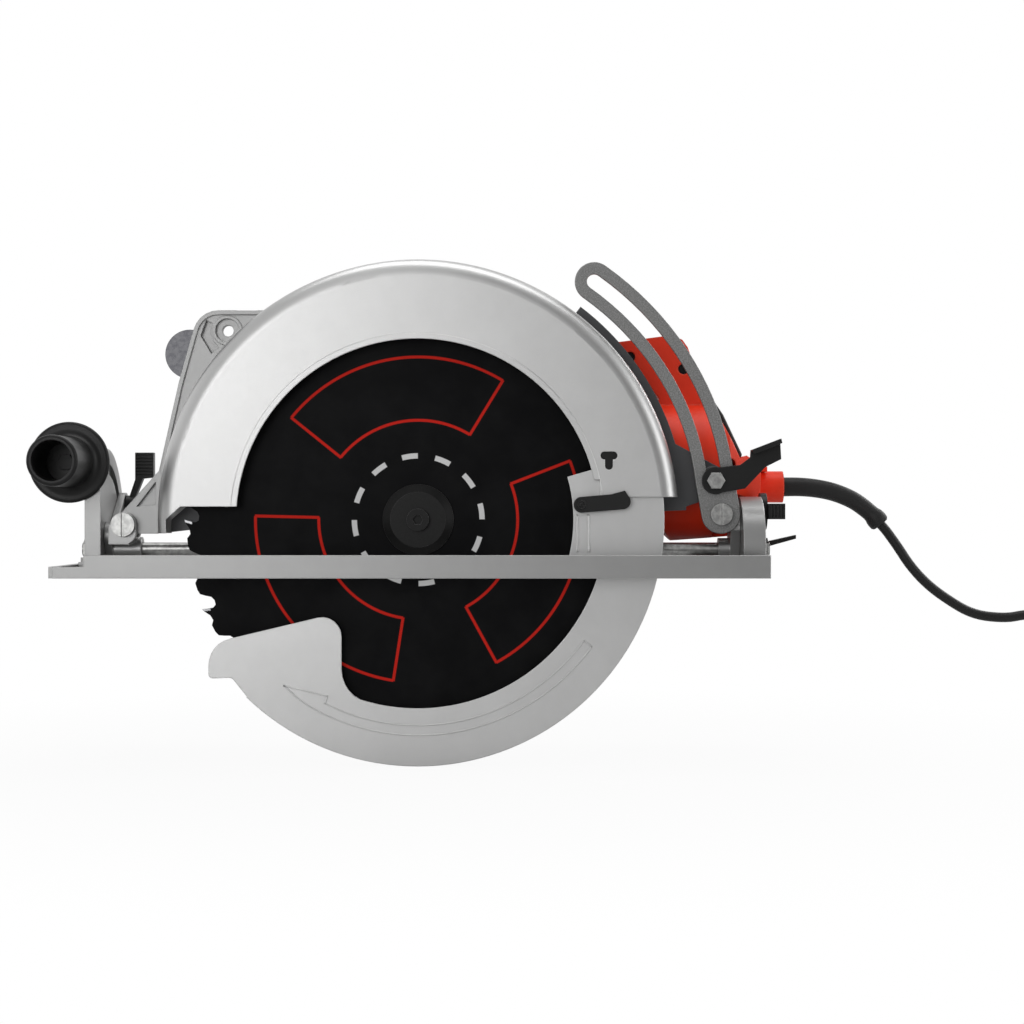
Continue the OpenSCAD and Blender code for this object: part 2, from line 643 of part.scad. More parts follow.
// Half section of the guard's shell or of its hollow, as radius and Y
module upper_section(r, near, far, corner) {
    translate([0, -near]) square([r - corner, near + far]);
    translate([0, -near + corner]) square([r, near + far - 2 * corner]);
    translate([r - corner, -near + corner]) circle(corner);
    translate([r - corner, far - corner]) circle(corner);
}

module right_half() intersection() {
    children();
    translate([0, -100]) square([400, 200]);
}

module upper_guard() color([0.72, 0.72, 0.72]) difference() {
    union() {
        turned(arbor) right_half() upper_section(upper_r, guard_half - bead_h, guard_half, shoulder_r);
        turned(arbor) translate([window_r - 6, -guard_half]) square([11, guard_wall]);
    }
    turned(arbor) right_half()
        upper_section(upper_r - guard_wall, guard_half - guard_wall, guard_half - guard_wall,
            shoulder_r - guard_wall);
    y_rod(arbor, window_r, -60, 60);
    side(-60, 60) polygon([[arbor_x, arbor_z + front_end_z], [guard_x0 + 22, arbor_z + front_end_z],
        [guard_x0 + 9, arbor_z], [guard_x0 + 9, -400], [arbor_x, -400]]);
    box([guard_x0 - 1, -60, -400], [arbor_x, 60, arbor_z - 12]);
    box([arbor_x - 1, -60, -400], [arbor_x + 500, 60, arbor_z + rear_end_z]);
    box([arbor_x + 151, -60, arbor_z + 10], [arbor_x + 160, -guard_half + guard_wall + 2, arbor_z + 35]);
    side(-60, -guard_half + guard_wall + 2) translate(arbor + polar(176, 17.3)) {
        stadium([0, -5], [0, 3], 3.5);
        stadium([-4, 4], [4, 4], 3.5);
    }
    for (p = rim_screw_places) y_rod(p, guard_screw_r + screw_gap, 0, 60);
}

bead_h = 1;
guard_x0 = arbor_x - upper_r;

// The web that carries the lug and the front arm, with a rim along its edge
module guard_web() color([0.72, 0.72, 0.72]) difference() {
    union() {
        side(arm_y0, arm_y1) polygon(concat(web_edge(0), [[-4, pivot_z + 10], [4, pivot_z - 8],
            [28, pivot_z - 8],
            [45, pivot_z + 4]], [for (a = [172 : -6 : 124]) arbor + polar(upper_r - 12, a)]));
        side(arm_y0 - web_rim[2], arm_y0 + 1) polygon(round_ribbon(web_edge(web_rim[0]), web_rim[1]));
        y_rod(lug_hole_at, lug_boss_r, arm_y0 - 2, arm_y0 + 1);
        y_rod(pivot, pivot_boss_r - 0.3, arm_y0, arm_y1);
    }
    y_rod(arbor, upper_r + 0.05, -60, 60);
    web_pockets();
    y_rod(lug_hole_at, lug_hole_r, -60, 60);
    y_rod(lug_hole_at, 10.6, -60, arm_y0 + 3);
    y_rod(pivot, pivot_pin_r + running_gap, -60, 60);
    y_rod(bar_stud_at, bar_bolt_r + screw_gap, arm_y0 + 3.5, 60);
}

lug_boss_r = 13.2;

// Pockets that leave the web with ribs between them
module web_pockets() side(arm_y0 - 1, arm_y0 + 6) {
    polygon([arbor + polar(upper_r + 4, 127.5), arbor + polar(upper_r + 17, 128.2), lug_hole_at + [3, 14.5]]);
    polygon([for (p = [[-19, 9.5], [-24, -4.5], [-14.5, -20.5], [-8, -15], [-13, -9], [-15.3, -1],
        [-13.5, 6.5]])
        lug_hole_at + p]);
    polygon([[27, pivot_z + 18], [27, pivot_z + 38], [10, pivot_z + 16]]);
}

backplate_hole_r = neck_r + 3.2;
guard_screw_places = [for (a = [25, 90, 155]) arbor + polar(gear_r - 8, a)];
rear_boss_r = 13;

module guard_backplate() color("dimgray") difference() {
    union() {
        side(plate_y0, plate_y1) intersection() {
            translate(arbor) circle(upper_r + 9, $fn = 180);
            translate(arbor) union() {
                polygon([[0, 0], polar(400, 2), polar(400, 30), polar(400, 52.5), polar(200, 53),
                    [40, 150], [-60, 150], [-60, 0]]);
                circle(gear_r);
            }
        }
        side(plate_y0, plate_y1) polygon([arbor + [upper_r - 30, 10], arbor + [upper_r + 4, 10],
            depth_bolt_at + [4, -rear_boss_r], depth_bolt_at + [4, rear_boss_r], arbor + [upper_r - 5, 70],
            arbor + [upper_r - 40, 70]]);
        y_rod(depth_bolt_at, rear_boss_r, lug_y0, plate_y1);
    }
    y_rod(arbor, backplate_hole_r, 0, 60);
    y_rod(depth_bolt_at, depth_bolt_r + screw_gap, -60, 60);
    y_rod(depth_bolt_at, 9 + screw_gap, plate_y1 - 4, plate_y1 + 1);
    for (p = guard_screw_places) y_rod(p, guard_screw_r + screw_gap, 0, 60);
    for (p = rim_screw_places) y_rod(p, guard_screw_r + screw_gap, 0, 60);
    box([0, plate_y0 - 1, -400], [600, plate_y1 + 1, bevel_z + tie_rod_r + 1.5]);
}

guard_screw_r = 2.5;
rim_screw_places = [for (a = [30, 95]) arbor + polar(window_r + 14, a)];

// Screws from the near side, through the guard's far wall or the plate alone, into what lies behind
module guard_screws() color("gainsboro") {
    for (p = guard_screw_places) {
        y_rod(p, guard_screw_r, plate_y0 - 2, plate_y1 + 8);
        y_rod(p, 2 * guard_screw_r, plate_y0 - 3, plate_y0);
    }
    for (p = rim_screw_places) {
        y_rod(p, guard_screw_r, guard_half - guard_wall - 1.5, plate_y1 + 4);
        y_hex(p, 2 * guard_screw_r, plate_y1, plate_y1 + 4);
    }
}

// Lower guard: two walls and a rim about the blade, with a nose that rides up the work
lower_inner_r = lower_r - 51;
lever_inner_r = 137;
lower_a0 = 226;
lower_a1 = 385;
lever_a0 = lower_a1 - 41;
lever_a1 = lower_a1 - 9;
lever_post = polar(144.5, lower_a1 - 379.8);
hub_r = neck_r + 9;
hub_y0 = neck_y0 + 2;

function lower_arc(r, a0, a1) = [for (i = [0 : 24]) polar(r, a0 + (a1 - a0) * i / 24)];

module lower_sector(a0, a1) polygon(concat([[0, 0]], lower_arc(lower_r * 1.6, a0, a1)));

// The nose runs from its blunt tip along the top, then down into the ring with a hollow corner
nose_corners = [[-184, -139.8], [-184, -109.1], [-67, -81.2], [-67, -155.6], [-30, -163.7], [-24, -176],
    [-60, -178], [-150.2, -155.5], [-163.5, -139]];
nose_radii = [4, 24, 17, 30, 0, 0, 0, 0, 5];

module lower_nose() polygon(rounded(nose_corners, nose_radii));

module lower_near_2d() {
    intersection() {
        ring_2d(lower_r, lower_inner_r);
        lower_sector(lower_a0, lower_a1);
    }
    intersection() {
        ring_2d(lower_r, lever_inner_r);
        lower_sector(lever_a0, lever_a1);
    }
    lower_nose();
}

module lower_guard() color([0.7, 0.7, 0.7]) difference() {
    union() {
        side(-lower_half, -lower_half + 2.5) translate(arbor) lower_near_2d();
        side(lower_half - 2.5, lower_half) translate(arbor) {
            intersection() {
                circle(lower_r, $fn = 180);
                lower_sector(lower_a0, lower_a1);
            }
            circle(hub_r);
        }
        side(-lower_half, lower_half) translate(arbor) intersection() {
            ring_2d(lower_r, lower_r - 2.5);
            lower_sector(lower_a0, lower_a1);
        }
        side(-lower_half, lower_half) translate(arbor)
            polygon([[-181, -137], [-181, -139.4], [-163.3, -138.7], [-150.1, -155.3],
                polar(lower_r - 1, lower_a0 + 2), polar(lower_r - 4, lower_a0 + 2), [-148.1, -153.6],
                [-161.6, -136.5]]);
        y_rod(arbor, hub_r, hub_y0, lower_half);
    }
    y_rod(arbor, neck_r + running_gap, -5, 60);
    y_rod(arbor + lever_post, lever_post_r - 1 + screw_gap, -60, 0);
}

lever_post_r = 5.5;

// The lever stands off the lower guard, so that it passes in front of the upper guard
module lift_lever() color([0.1, 0.1, 0.1]) {
    plate = -guard_half - 0.6;
    y_rod(arbor + lever_post, lever_post_r, plate - 1, -lower_half);
    y_rod(arbor + lever_post, lever_post_r - 1, plate, -lower_half + 4.5);
    side(plate - 4, plate) translate(arbor) {
        stadium(lever_post + [0, 0], lever_post + [36, 3], 7);
        polygon([lever_post + [18, 7], lever_post + [38, 12.5], lever_post + [42, 6], lever_post + [36, -4]]);
    }
}

module guard_retainer() color("gainsboro") side(neck_y0 + 0.2, hub_y0 - 0.2) translate(arbor)
    ring_2d(neck_r + 4, neck_r - 0.8 + running_gap);

// Gear housing
seal_r = shaft_r + 4.5;
arbor_bearing_r = shaft_r + 13.5;
rear_shaft_r = shaft_r - 2.5;
rear_bearing_r = rear_shaft_r + 10;
bearing_w = 12;
front_bearing_y0 = gear_y0 + 5;
cavity_y0 = front_bearing_y0 + bearing_w + 2;
rear_bearing_y0 = gear_y1 - 13;
worm_bearing_r = armature_shaft_r + 9;
worm_l = 44;
worm_tube_r = worm_bearing_r + 7;
worm_bore_r = worm_pitch_r + gear_addendum + 2;
front_worm_x0 = arbor_x - worm_l / 2 - 14;
rear_worm_x0 = flange_x0 - 8;
motor_bearing_x0 = motor_x1 - 14;
motor_bearing_r = armature_shaft_r + 6.5;
ear_places = [for (a = [45, 135, 225, 315]) arbor + polar(gear_r + 2.5, a)];
cover_screw_r = 2.5;

module gear_housing() color("darkgray") difference() {
    union() {
        y_rod(arbor, neck_r, neck_y0, gear_y0 + 1);
        y_rod(arbor, gear_r, gear_y0, gear_y1);
        x_rod(drive_axis, worm_tube_r, front_worm_x0 - 6, flange_x0 + 4);
        x_cone(drive_axis, worm_tube_r, motor_r, flange_x0 - 10, flange_x0 + 2);
        x_rod(drive_axis, motor_r, flange_x0 + 2, motor_x0);
        for (p = guard_screw_places) y_rod(p, 7, plate_y1, gear_y0 + 1);
        for (p = ear_places) y_rod(p, 6, gear_y1 - 18, gear_y1);
        y_rod([arbor_x - 20, drive_z + 4], 9, drive_y, drive_y + worm_tube_r + 4);
    }
    y_rod(arbor, seal_r, neck_y0 - 1, front_bearing_y0);
    y_rod(arbor, neck_r - 0.8, neck_y0 - 1, neck_y0 - 0.5);
    turned(arbor) translate([neck_r - 0.8, neck_y0 + 0.1]) square([4, hub_y0 - neck_y0 - 0.2]);
    y_rod(arbor, arbor_bearing_r, front_bearing_y0, cavity_y0);
    y_rod(arbor, gear_cavity_r, cavity_y0 - 0.5, gear_y1 + 1);
    x_rod(drive_axis, worm_bearing_r, front_worm_x0, arbor_x);
    x_rod(drive_axis, worm_bore_r, front_worm_x0 + 10, flange_x0 + 1);
    x_rod(drive_axis, worm_bearing_r + 2, flange_x0 - 9, motor_x0 + 1);
    for (p = guard_screw_places) y_rod(p, guard_screw_r + screw_gap, 0, plate_y1 + 10);
    for (p = ear_places) y_rod(p, cover_screw_r + screw_gap, gear_y1 - 12, gear_y1 + 1);
    y_rod([arbor_x - 20, drive_z + 4], button_r + running_gap, drive_y + worm_bore_r - 1, drive_y + 60);
}

module gear_cover() color("darkgray") difference() {
    union() {
        y_rod(arbor, gear_r, gear_y1, gear_y1 + cover_t);
        for (p = ear_places) y_rod(p, 6, gear_y1, gear_y1 + cover_t);
        y_rod(arbor, rear_bearing_r + 5, rear_bearing_y0 - 1, gear_y1 + 1);
        turned(arbor) polygon([[0, gear_y1 + cover_t], [gear_r - 12, gear_y1 + cover_t],
            [gear_r - 18, gear_y1 + cover_t + 6],
            [0, gear_y1 + cover_t + 6]]);
    }
    y_rod(arbor, rear_bearing_r, rear_bearing_y0 - 2, gear_y1 + 0.5);
    for (p = ear_places) y_rod(p, cover_screw_r + screw_gap, gear_y1 - 1, gear_y1 + cover_t + 1);
}

module cover_screws() color("gainsboro") for (p = ear_places) {
    y_rod(p, cover_screw_r, gear_y1 - 11, gear_y1 + cover_t + 1);
    difference() {
        y_rod(p, 4.4, gear_y1 + cover_t, gear_y1 + cover_t + 4.5);
        y_hex(p, 2.4, gear_y1 + cover_t + 2, gear_y1 + cover_t + 6);
    }
}

// Ball bearings, each drawn as its two races with the shield between them
module y_bearing(inner, outer, y0) {
    side(y0, y0 + bearing_w - 1) translate(arbor) ring_2d(outer - screw_gap, inner + running_gap);
}

module x_bearing(inner, outer, x0, w) {
    end(x0, x0 + w) translate(drive_axis) ring_2d(outer - screw_gap, inner + running_gap);
}

module bearings() color("silver") {
    y_bearing(shaft_r, arbor_bearing_r, front_bearing_y0);
    y_bearing(rear_shaft_r, rear_bearing_r, rear_bearing_y0);
    x_bearing(armature_shaft_r, worm_bearing_r, front_worm_x0, 9);
    x_bearing(armature_shaft_r, worm_bearing_r + 2, rear_worm_x0, 10);
    x_bearing(armature_shaft_r, motor_bearing_r, motor_bearing_x0, 9);
}

// Motor
vent_count = 14;
brush_x = motor_x0 + 128;
cap_r = 8;

module motor_housing() color("dimgray") difference() {
    union() {
        x_rod(drive_axis, motor_r, motor_x0, motor_x1);
        y_rod([brush_x, drive_z], cap_r + 4, drive_y + motor_r - 6, drive_y + motor_r + 3);
        y_rod([brush_x, drive_z], cap_r + 4, drive_y - motor_r - 3, drive_y - motor_r + 6);
        for (a = [30, 150, 210, 330]) x_rod(drive_axis + polar(motor_r - 2, a), 7, motor_x0, motor_x0 + 14);
    }
    x_rod(drive_axis, motor_r - motor_wall, motor_x0 - 1, motor_x1 - 16);
    x_rod(drive_axis, motor_bearing_r, motor_bearing_x0, motor_x1 + 1);
    x_rod(drive_axis, armature_shaft_r + 3, motor_x1 - 30, motor_x1 + 1);
    for (i = [0 : vent_count - 1]) translate([motor_x0 + 8, drive_y, drive_z]) rotate([360 * (i + 0.5)
        / vent_count, 0, 0])
        translate([0, -3, motor_r - motor_wall - 3]) cube([22, 6, motor_wall + 8]);
    for (i = [0 : vent_count - 1]) translate([motor_x1 - 34, drive_y, drive_z])
        rotate([360 * i / vent_count, 0, 0])
        translate([0, -3, motor_r - motor_wall - 3]) cube([14, 6, motor_wall + 8]);
    y_rod([brush_x, drive_z], cap_r + running_gap, drive_y - motor_r - 10, drive_y - motor_r + 20);
    y_rod([brush_x, drive_z], cap_r + running_gap, drive_y + motor_r - 20, drive_y + motor_r + 10);
}

stator_x0 = motor_x0 + 34;
stator_l = 66;

module stator() color("sienna") end(stator_x0, stator_x0 + stator_l) translate(drive_axis)
    ring_2d(motor_r - motor_wall - screw_gap, armature_r + 1);

module brush_caps() color([0.1, 0.1, 0.1]) for (s = [-1, 1]) {
    out = drive_y + s * (motor_r + 4);
    inside = drive_y + s * (motor_r - motor_wall - 4);
    difference() {
        y_rod([brush_x, drive_z], cap_r, min(out, inside), max(out, inside));
        box([brush_x - 1, out - 1.5, drive_z - 10], [brush_x + 1, out + 1.5, drive_z + 10]);
    }
}

commutator_r = 16;

module brushes() color("black") for (s = [-1, 1]) {
    a = drive_y + s * (commutator_r + face_gap);
    b = drive_y + s * (motor_r - motor_wall - 4);
    box([brush_x - 4, min(a, b), drive_z - 3], [brush_x + 4, max(a, b), drive_z + 3]);
}

module armature_shaft() color("silver")
    x_rod(drive_axis, armature_shaft_r, front_worm_x0 + 0.5, motor_bearing_x0 + 10);

module armature_core() color("peru") {
    difference() {
        x_rod(drive_axis, armature_r, stator_x0 + 1, stator_x0 + stator_l - 1);
        for (i = [0 : 11]) translate([stator_x0, drive_y, drive_z]) rotate([30 * i, 0, 0])
            translate([0, -2, armature_r - 9]) cube([stator_l, 4, 20]);
        x_rod(drive_axis, armature_shaft_r + running_gap, stator_x0, stator_x0 + stator_l);
    }
    difference() {
        x_rod(drive_axis, commutator_r, brush_x - 10, brush_x + 10);
        x_rod(drive_axis, armature_shaft_r + running_gap, brush_x - 11, brush_x + 11);
    }
}

module fan() color("dimgray") difference() {
    union() {
        x_rod(drive_axis, motor_r - motor_wall - 6, motor_x0 + 20, motor_x0 + 23);
        x_rod(drive_axis, 16, motor_x0 + 8, motor_x0 + 23);
        for (i = [0 : 10]) translate([motor_x0 + 9, drive_y, drive_z]) rotate([360 * i / 11, 0, 0])
            translate([0, -1, 10]) cube([12, 2, motor_r - motor_wall - 18]);
    }
    x_rod(drive_axis, armature_shaft_r + running_gap, motor_x0, motor_x0 + 30);
}

// Worm and wheel
worm_starts = 2;
tooth_backlash = 2.4;
axial_pitch = PI * gear_module;
worm_lead = worm_starts * axial_pitch;
lead_angle = atan(worm_lead / (2 * PI * worm_pitch_r));
pressure_slope = tan(20);
worm_levels = [worm_pitch_r - gear_dedendum, worm_pitch_r, worm_pitch_r + gear_addendum];
wheel_levels = [for (d = [-gear_dedendum, -gear_dedendum / 2, 0, gear_addendum / 2, gear_addendum])
    wheel_pitch_r + d];
function thread_half(r) = (axial_pitch - tooth_backlash) / 4 - (r - worm_pitch_r) * pressure_slope;
function tooth_half(r) = (axial_pitch - tooth_backlash) / 4 - (r - wheel_pitch_r) * pressure_slope * 0.9;
function thread_angle(r) = 360 * thread_half(r) / worm_lead;
function tooth_angle(r) = 180 * tooth_half(r) / (PI * r);
worm_section = [for (s = [0 : worm_starts - 1])
    let (c = 360 * s / worm_starts, a0 = thread_angle(worm_levels[0]),
    gap = 360 / worm_starts - 2 * a0) each concat(
    [for (r = worm_levels) polar(r, c - thread_angle(r))],
    [polar(worm_levels[2], c)],
    [for (i = [2 : -1 : 0]) polar(worm_levels[i], c + thread_angle(worm_levels[i]))],
    [for (f = [0.3, 0.5, 0.7]) polar(worm_levels[0], c + a0 + f * gap)])];
wheel_section = [for (t = [0 : wheel_teeth - 1]) let (c = 360 * t / wheel_teeth) each concat(
    [for (r = wheel_levels) polar(r, c - tooth_angle(r))],
    [for (i = [4 : -1 : 0]) polar(wheel_levels[i], c + tooth_angle(wheel_levels[i]))])];
wheel_phase = 7.5;

module worm() color("silver") translate([arbor_x, drive_y, drive_z]) rotate([0, 90, 0])
    linear_extrude(worm_l, center = true, twist = -360 * worm_l / worm_lead, slices = 56, segments = 0)
        difference() {
        polygon(worm_section);
        circle(armature_shaft_r * 1.045, $fn = 24);
    }

module worm_wheel() color("goldenrod") translate([arbor_x, drive_y, arbor_z]) rotate([0, wheel_phase, 0])
    rotate([90, 0, 0]) linear_extrude(wheel_w, center = true, slices = 5, segments = 0,
        twist = -360 * wheel_w * tan(lead_angle) / (2 * PI * wheel_pitch_r)) difference() {
        polygon(wheel_section);
        circle(shaft_r + 0.15, $fn = 48);
    }

// Arbor
inner_flange_t = 5.6;
outer_flange_t = 6;
nose_gap = 0.1;
arbor_bolt_r = 5;
arbor_y0 = -blade_t / 2 + 0.4;
arbor_y1 = blade_t / 2 + inner_flange_t;

module arbor_shaft() color("silver") difference() {
    union() {
        y_rod(arbor, shaft_r, arbor_y0, rear_bearing_y0 - 1);
        y_rod(arbor, shaft_r + 3, arbor_y1, arbor_y1 + 2);
        y_rod(arbor, rear_shaft_r, rear_bearing_y0 - 2, rear_bearing_y0 + bearing_w);
    }
    y_rod(arbor, arbor_bolt_r + screw_gap, arbor_y0 - 1, 28);
}

module inner_flange() color("dimgray") turned(arbor) difference() {
    union() {
        translate([0, blade_t / 2]) square([flange_d / 2, inner_flange_t]);
        translate([0, arbor_y0]) square([blade_bore_d / 2 - nose_gap, blade_t]);
    }
    translate([-1, -20]) square([shaft_r + screw_gap + 1, 60]);
    translate([blade_bore_d / 2 + 6, blade_t / 2 - 1]) square([flange_d / 2 - blade_bore_d / 2 - 14, 1.6]);
}

module outer_flange() color([0.13, 0.13, 0.13]) turned(arbor) polygon([
    [arbor_bolt_r + screw_gap, -blade_t / 2 - outer_flange_t],
        [flange_d / 2 - 7, -blade_t / 2 - outer_flange_t],
    [flange_d / 2, -blade_t / 2 - 2], [flange_d / 2, -blade_t / 2],
        [arbor_bolt_r + screw_gap, -blade_t / 2]]);

module arbor_bolt() color([0.13, 0.13, 0.13]) difference() {
    union() {
        y_rod(arbor, arbor_bolt_r, -blade_t / 2 - outer_flange_t - 1, 26);
        y_rod(arbor, 9.8, -blade_t / 2 - outer_flange_t - 6, -blade_t / 2 - outer_flange_t);
    }
    y_hex(arbor, 4.6, -40, -blade_t / 2 - outer_flange_t - 2);
}

// Blade: each tooth has a seat for its tip, a hump that limits the bite, and a gullet
tooth_pitch = 360 / tooth_count;
tooth_shape = [[0.062, 0.9], [0.196, 4.4], [0.32, 5], [0.41, 1.9], [0.57, 1.9], [0.676, 3], [0.747, 7],
    [0.818, 11.5],
    [0.916, 13.2], [1.022, 12.6], [1.062, 9.5], [1.049, 7], [1.107, 7]];
tip_shape = [[0, 0], [0.062, 0.9], [0.107, 7], [0.049, 7]];

function tooth_points(shape, i) = [for (p = shape) polar(blade_r - p[1], 180 + (i + p[0]) * tooth_pitch)];

module saw_blade() color([0.1, 0.1, 0.1]) difference() {
    side(-blade_t / 2, blade_t / 2) translate(arbor)
        polygon([for (i = [0 : tooth_count - 1]) each tooth_points(tooth_shape, i)]);
    y_rod(arbor, blade_bore_d / 2, -20, 20);
}

module carbide_tips() color("gray") side(-kerf / 2, kerf / 2) translate(arbor)
    for (i = [0 : tooth_count - 1]) polygon(tooth_points(tip_shape, i));

// Rear handle, in two halves about the motor's own plane
module handle_outline() polygon([[motor_x0 + 4, drive_z + motor_r + 0.5], [motor_x0 + 4, bar_top - 20],
    [motor_x0 + 22, bar_top - 10], [bell_x0 - 35, bar_top - 2], [bell_x0 + 12, bar_top + 4],
        [bell_x0 + 22, bar_top],
    [bell_x0 + 27, bar_top - 7], slope_top, slope_mid, slope_low, [slope_low[0] + 14, drive_z + 6],
    [cord_nose_x1, cord_nose_z + cord_nose_r], [cord_nose_x1, cord_nose_z - cord_nose_r],
        [bell_x0 + 93, drive_z - 33],
    [bell_x0 + 85, drive_z - 50], [bell_x0 + 69, drive_z - 59], [bell_x0 + 12, drive_z - bell_r],
    [bell_x0 + 3, drive_z - bell_r + 10], [bell_x0, drive_z - bell_r + 14],
        [bell_x0, drive_z + motor_r + 0.5]]);

module finger_gap() {
    x0 = motor_x0 + 30;
    polygon([[x0, drive_z + motor_r + 8], [bell_x0 + 1, drive_z + motor_r + 8], [bell_x0 - 18, bar_low],
        [x0 + 6, bar_low], [x0, bar_low - 6]]);
}

module rubber_2d() {
    n = unit([slope_mid[1] - slope_top[1], slope_top[0] - slope_mid[0]]);
    m = unit([slope_low[1] - slope_mid[1], slope_mid[0] - slope_low[0]]);
    polygon([slope_top, slope_mid, slope_low, slope_low + rubber_t * m, slope_mid + rubber_t * unit(n + m),
        slope_top + rubber_t * n]);
}

module handle_mass() difference() {
    intersection() {
        union() {
            x_rod(drive_axis, bell_r, bell_x0, bell_x0 + 62);
            x_cone(drive_axis, bell_r, bell_r - 26, bell_x0 + 62, bell_x0 + 92);
            x_rod([drive_y, cord_nose_z], cord_nose_r, bell_x0 + 60, cord_nose_x1);
            box([motor_x0, handle_y0, drive_z], [bell_x0 + 100, handle_y1, bar_top + 10]);
        }
        side(0, 200) handle_outline();
    }
    side(0, 200) {
        finger_gap();
        rubber_2d();
    }
    x_rod(drive_axis, bell_r - 5, bell_x0 + 5, bell_x0 + 46);
    x_rod(bevel_axis, rear_quadrant_r + 3, rear_yoke_x0 - 12, foot_x1);
    x_rod(bevel_axis, rear_quadrant_r + 8, foot_x1 - 1, foot_x1 + 40);
    x_rod(drive_axis, motor_bearing_r + 6, bell_x0 - 1, bell_x0 + 8);
    switch_pocket();
    x_rod([drive_y, cord_nose_z], sleeve_bore_r, bell_x0 + 50, cord_nose_x1 + 1);
    for (p = handle_screw_places) y_rod(p, handle_screw_r + screw_gap, 0, 300);
    for (p = handle_screw_places) y_rod(p, 2 * handle_screw_r + 0.4, 0, handle_y0 + 6);
}

sleeve_bore_r = 5;
trigger_x = bell_x0 - 60;
trigger_travel = 6;
handle_screw_r = 2.2;
handle_screw_places = [[motor_x0 + 16, bar_top - 26], [bell_x0 - 26, bar_top - 16],
    [bell_x0 + 23, bar_top - 27],
    [bell_x0 + 62, drive_z + 6], [bell_x0 + 84, drive_z - 34]];

module switch_pocket() {
    box([trigger_x - 4, drive_y - 11, bar_low + 4], [trigger_x + 38, drive_y + 11, bar_top - 7]);
    box([trigger_x - face_gap, drive_y - 7 - face_gap, bar_low - 1],
        [trigger_x + 30 + face_gap, drive_y + 7 + face_gap, bar_low + 6]);
}

module handle_left() color([0.85, 0.2, 0.1]) intersection() {
    handle_mass();
    box([0, 0, 0], [900, drive_y, 400]);
}

module handle_right() color([0.85, 0.2, 0.1]) intersection() {
    handle_mass();
    box([0, drive_y, 0], [900, 300, 400]);
}

module handle_screws() color("gainsboro") for (p = handle_screw_places) {
    y_rod(p, handle_screw_r, handle_y0 + 3, handle_y1 - 2);
    y_rod(p, 2 * handle_screw_r, handle_y0 + 3, handle_y0 + 6);
}

module rubber_grip() color([0.1, 0.1, 0.1]) side(handle_y0, handle_y1) rubber_2d();

module trigger() color([0.1, 0.1, 0.1]) side(drive_y - 7, drive_y + 7) polygon([for (p = [[0, 5],
    [11, 5], [11, 8], [19, 8], [19, 5],
    [30, 5], [30, -9], [24, -11], [12, -7], [0, -3]]) [trigger_x, bar_low] + p]);

module switch() color([0.2, 0.2, 0.2])
    box([trigger_x - 3.7, drive_y - 10.7, bar_low + 8 + trigger_travel + 0.3],
    [trigger_x + 37.7, drive_y + 10.7, bar_top - 7.2]);

// Side handle at the front, on the motor side
bar_bolt_r = 5;
bar_collar_r = 22;

module side_handle_bar() color("gainsboro") {
    y_rod(bar_at, bar_collar_r, plate_y0, plate_y0 + 14);
    y_rod(bar_at, bar_grip_d / 2 - 4, plate_y0 + 13, plate_y0 + bar_l);
    y_rod(bar_stud_at, bar_bolt_r, arm_y0 + 4, plate_y0 + 1);
}

module side_handle_grip() color([0.1, 0.1, 0.1]) difference() {
    union() {
        y_rod(bar_at, bar_grip_d / 2, plate_y0 + 14.2, plate_y0 + bar_l + 4);
        y_rod(bar_at, bar_grip_d / 2 + 4, plate_y0 + 14.2, plate_y0 + 19);
        y_rod(bar_at, bar_grip_d / 2 + 3, plate_y0 + bar_l - 4, plate_y0 + bar_l + 2);
    }
    y_rod(bar_at, bar_grip_d / 2 - 4 + screw_gap, 0, plate_y0 + bar_l + 0.2);
}

// Spindle lock button on the motor side of the gear housing
button_r = 6;
button_travel = 5;

module lock_button() color([0.1, 0.1, 0.1]) {
    at = [arbor_x - 20, drive_z + 4];
    y_rod(at, button_r, drive_y + worm_bore_r + button_travel + 1, drive_y + worm_tube_r + 10);
    y_rod(at, button_r + 3, drive_y + worm_tube_r + 4 + button_travel + face_gap, drive_y + worm_tube_r + 13);
}

// Return spring of the lower guard, wound round the housing's neck
spring_wire_r = 0.9;
spring_turns = 4.5;
spring_r = neck_r + 0.4 + spring_wire_r;
spring_y0 = plate_y1 + 1.3;
spring_pitch = 2.3;
spring_rings = 20;
spring_body = [for (i = [0 : spring_rings * spring_turns]) let (a = 360 * i / spring_rings + 90)
    [arbor_x + spring_r * cos(a),
    spring_y0 + spring_pitch * i / spring_rings, arbor_z + spring_r * sin(a)]];
spring_out = [-sin(90), 0, cos(90)];
spring_end_a = 360 * spring_turns + 90;
spring_path = concat([spring_body[0] - 2 * spring_wire_r * spring_out], spring_body,
    [spring_body[len(spring_body) - 1] + 2 * spring_wire_r * [-sin(spring_end_a), 0, cos(spring_end_a)]]);
spring_gap = spring_pitch - 2 * spring_wire_r;
echo(spring_gap = spring_gap);

function spring_ring(i) = let (t = tangent(spring_path, i), side = [0, 1, 0], up = unit(cross(side, t)),
    across = cross(t, up))
    [for (k = [0 : 5]) spring_path[i] + spring_wire_r * (cos(60 * k) * across + sin(60 * k) * up)];

module guard_spring() color("silver") polyhedron(points = [for (i = [0 : len(spring_path) - 1])
    each spring_ring(i)],
    faces = [for (f = tube_faces(len(spring_path), 6)) [f[0], f[2], f[1]]]);

// Cord, its sleeve, coil, tie and plug
module cord_sleeve() color([0.1, 0.1, 0.1]) tube(sleeve_route, sleeve_radii, 12);

module power_cord() color([0.12, 0.12, 0.12]) tube(cord_route, [for (p = cord_route) cord_r], 10);

module cord_coil() color([0.12, 0.12, 0.12]) polyhedron(
    points = [for (i = [0 : len(coil_path) - 1]) each flat_ring(coil_path[i], coil_tangent(i),
        cord_r, coil_sides)],
    faces = tube_faces(len(coil_path), coil_sides));

tie_a = 120;

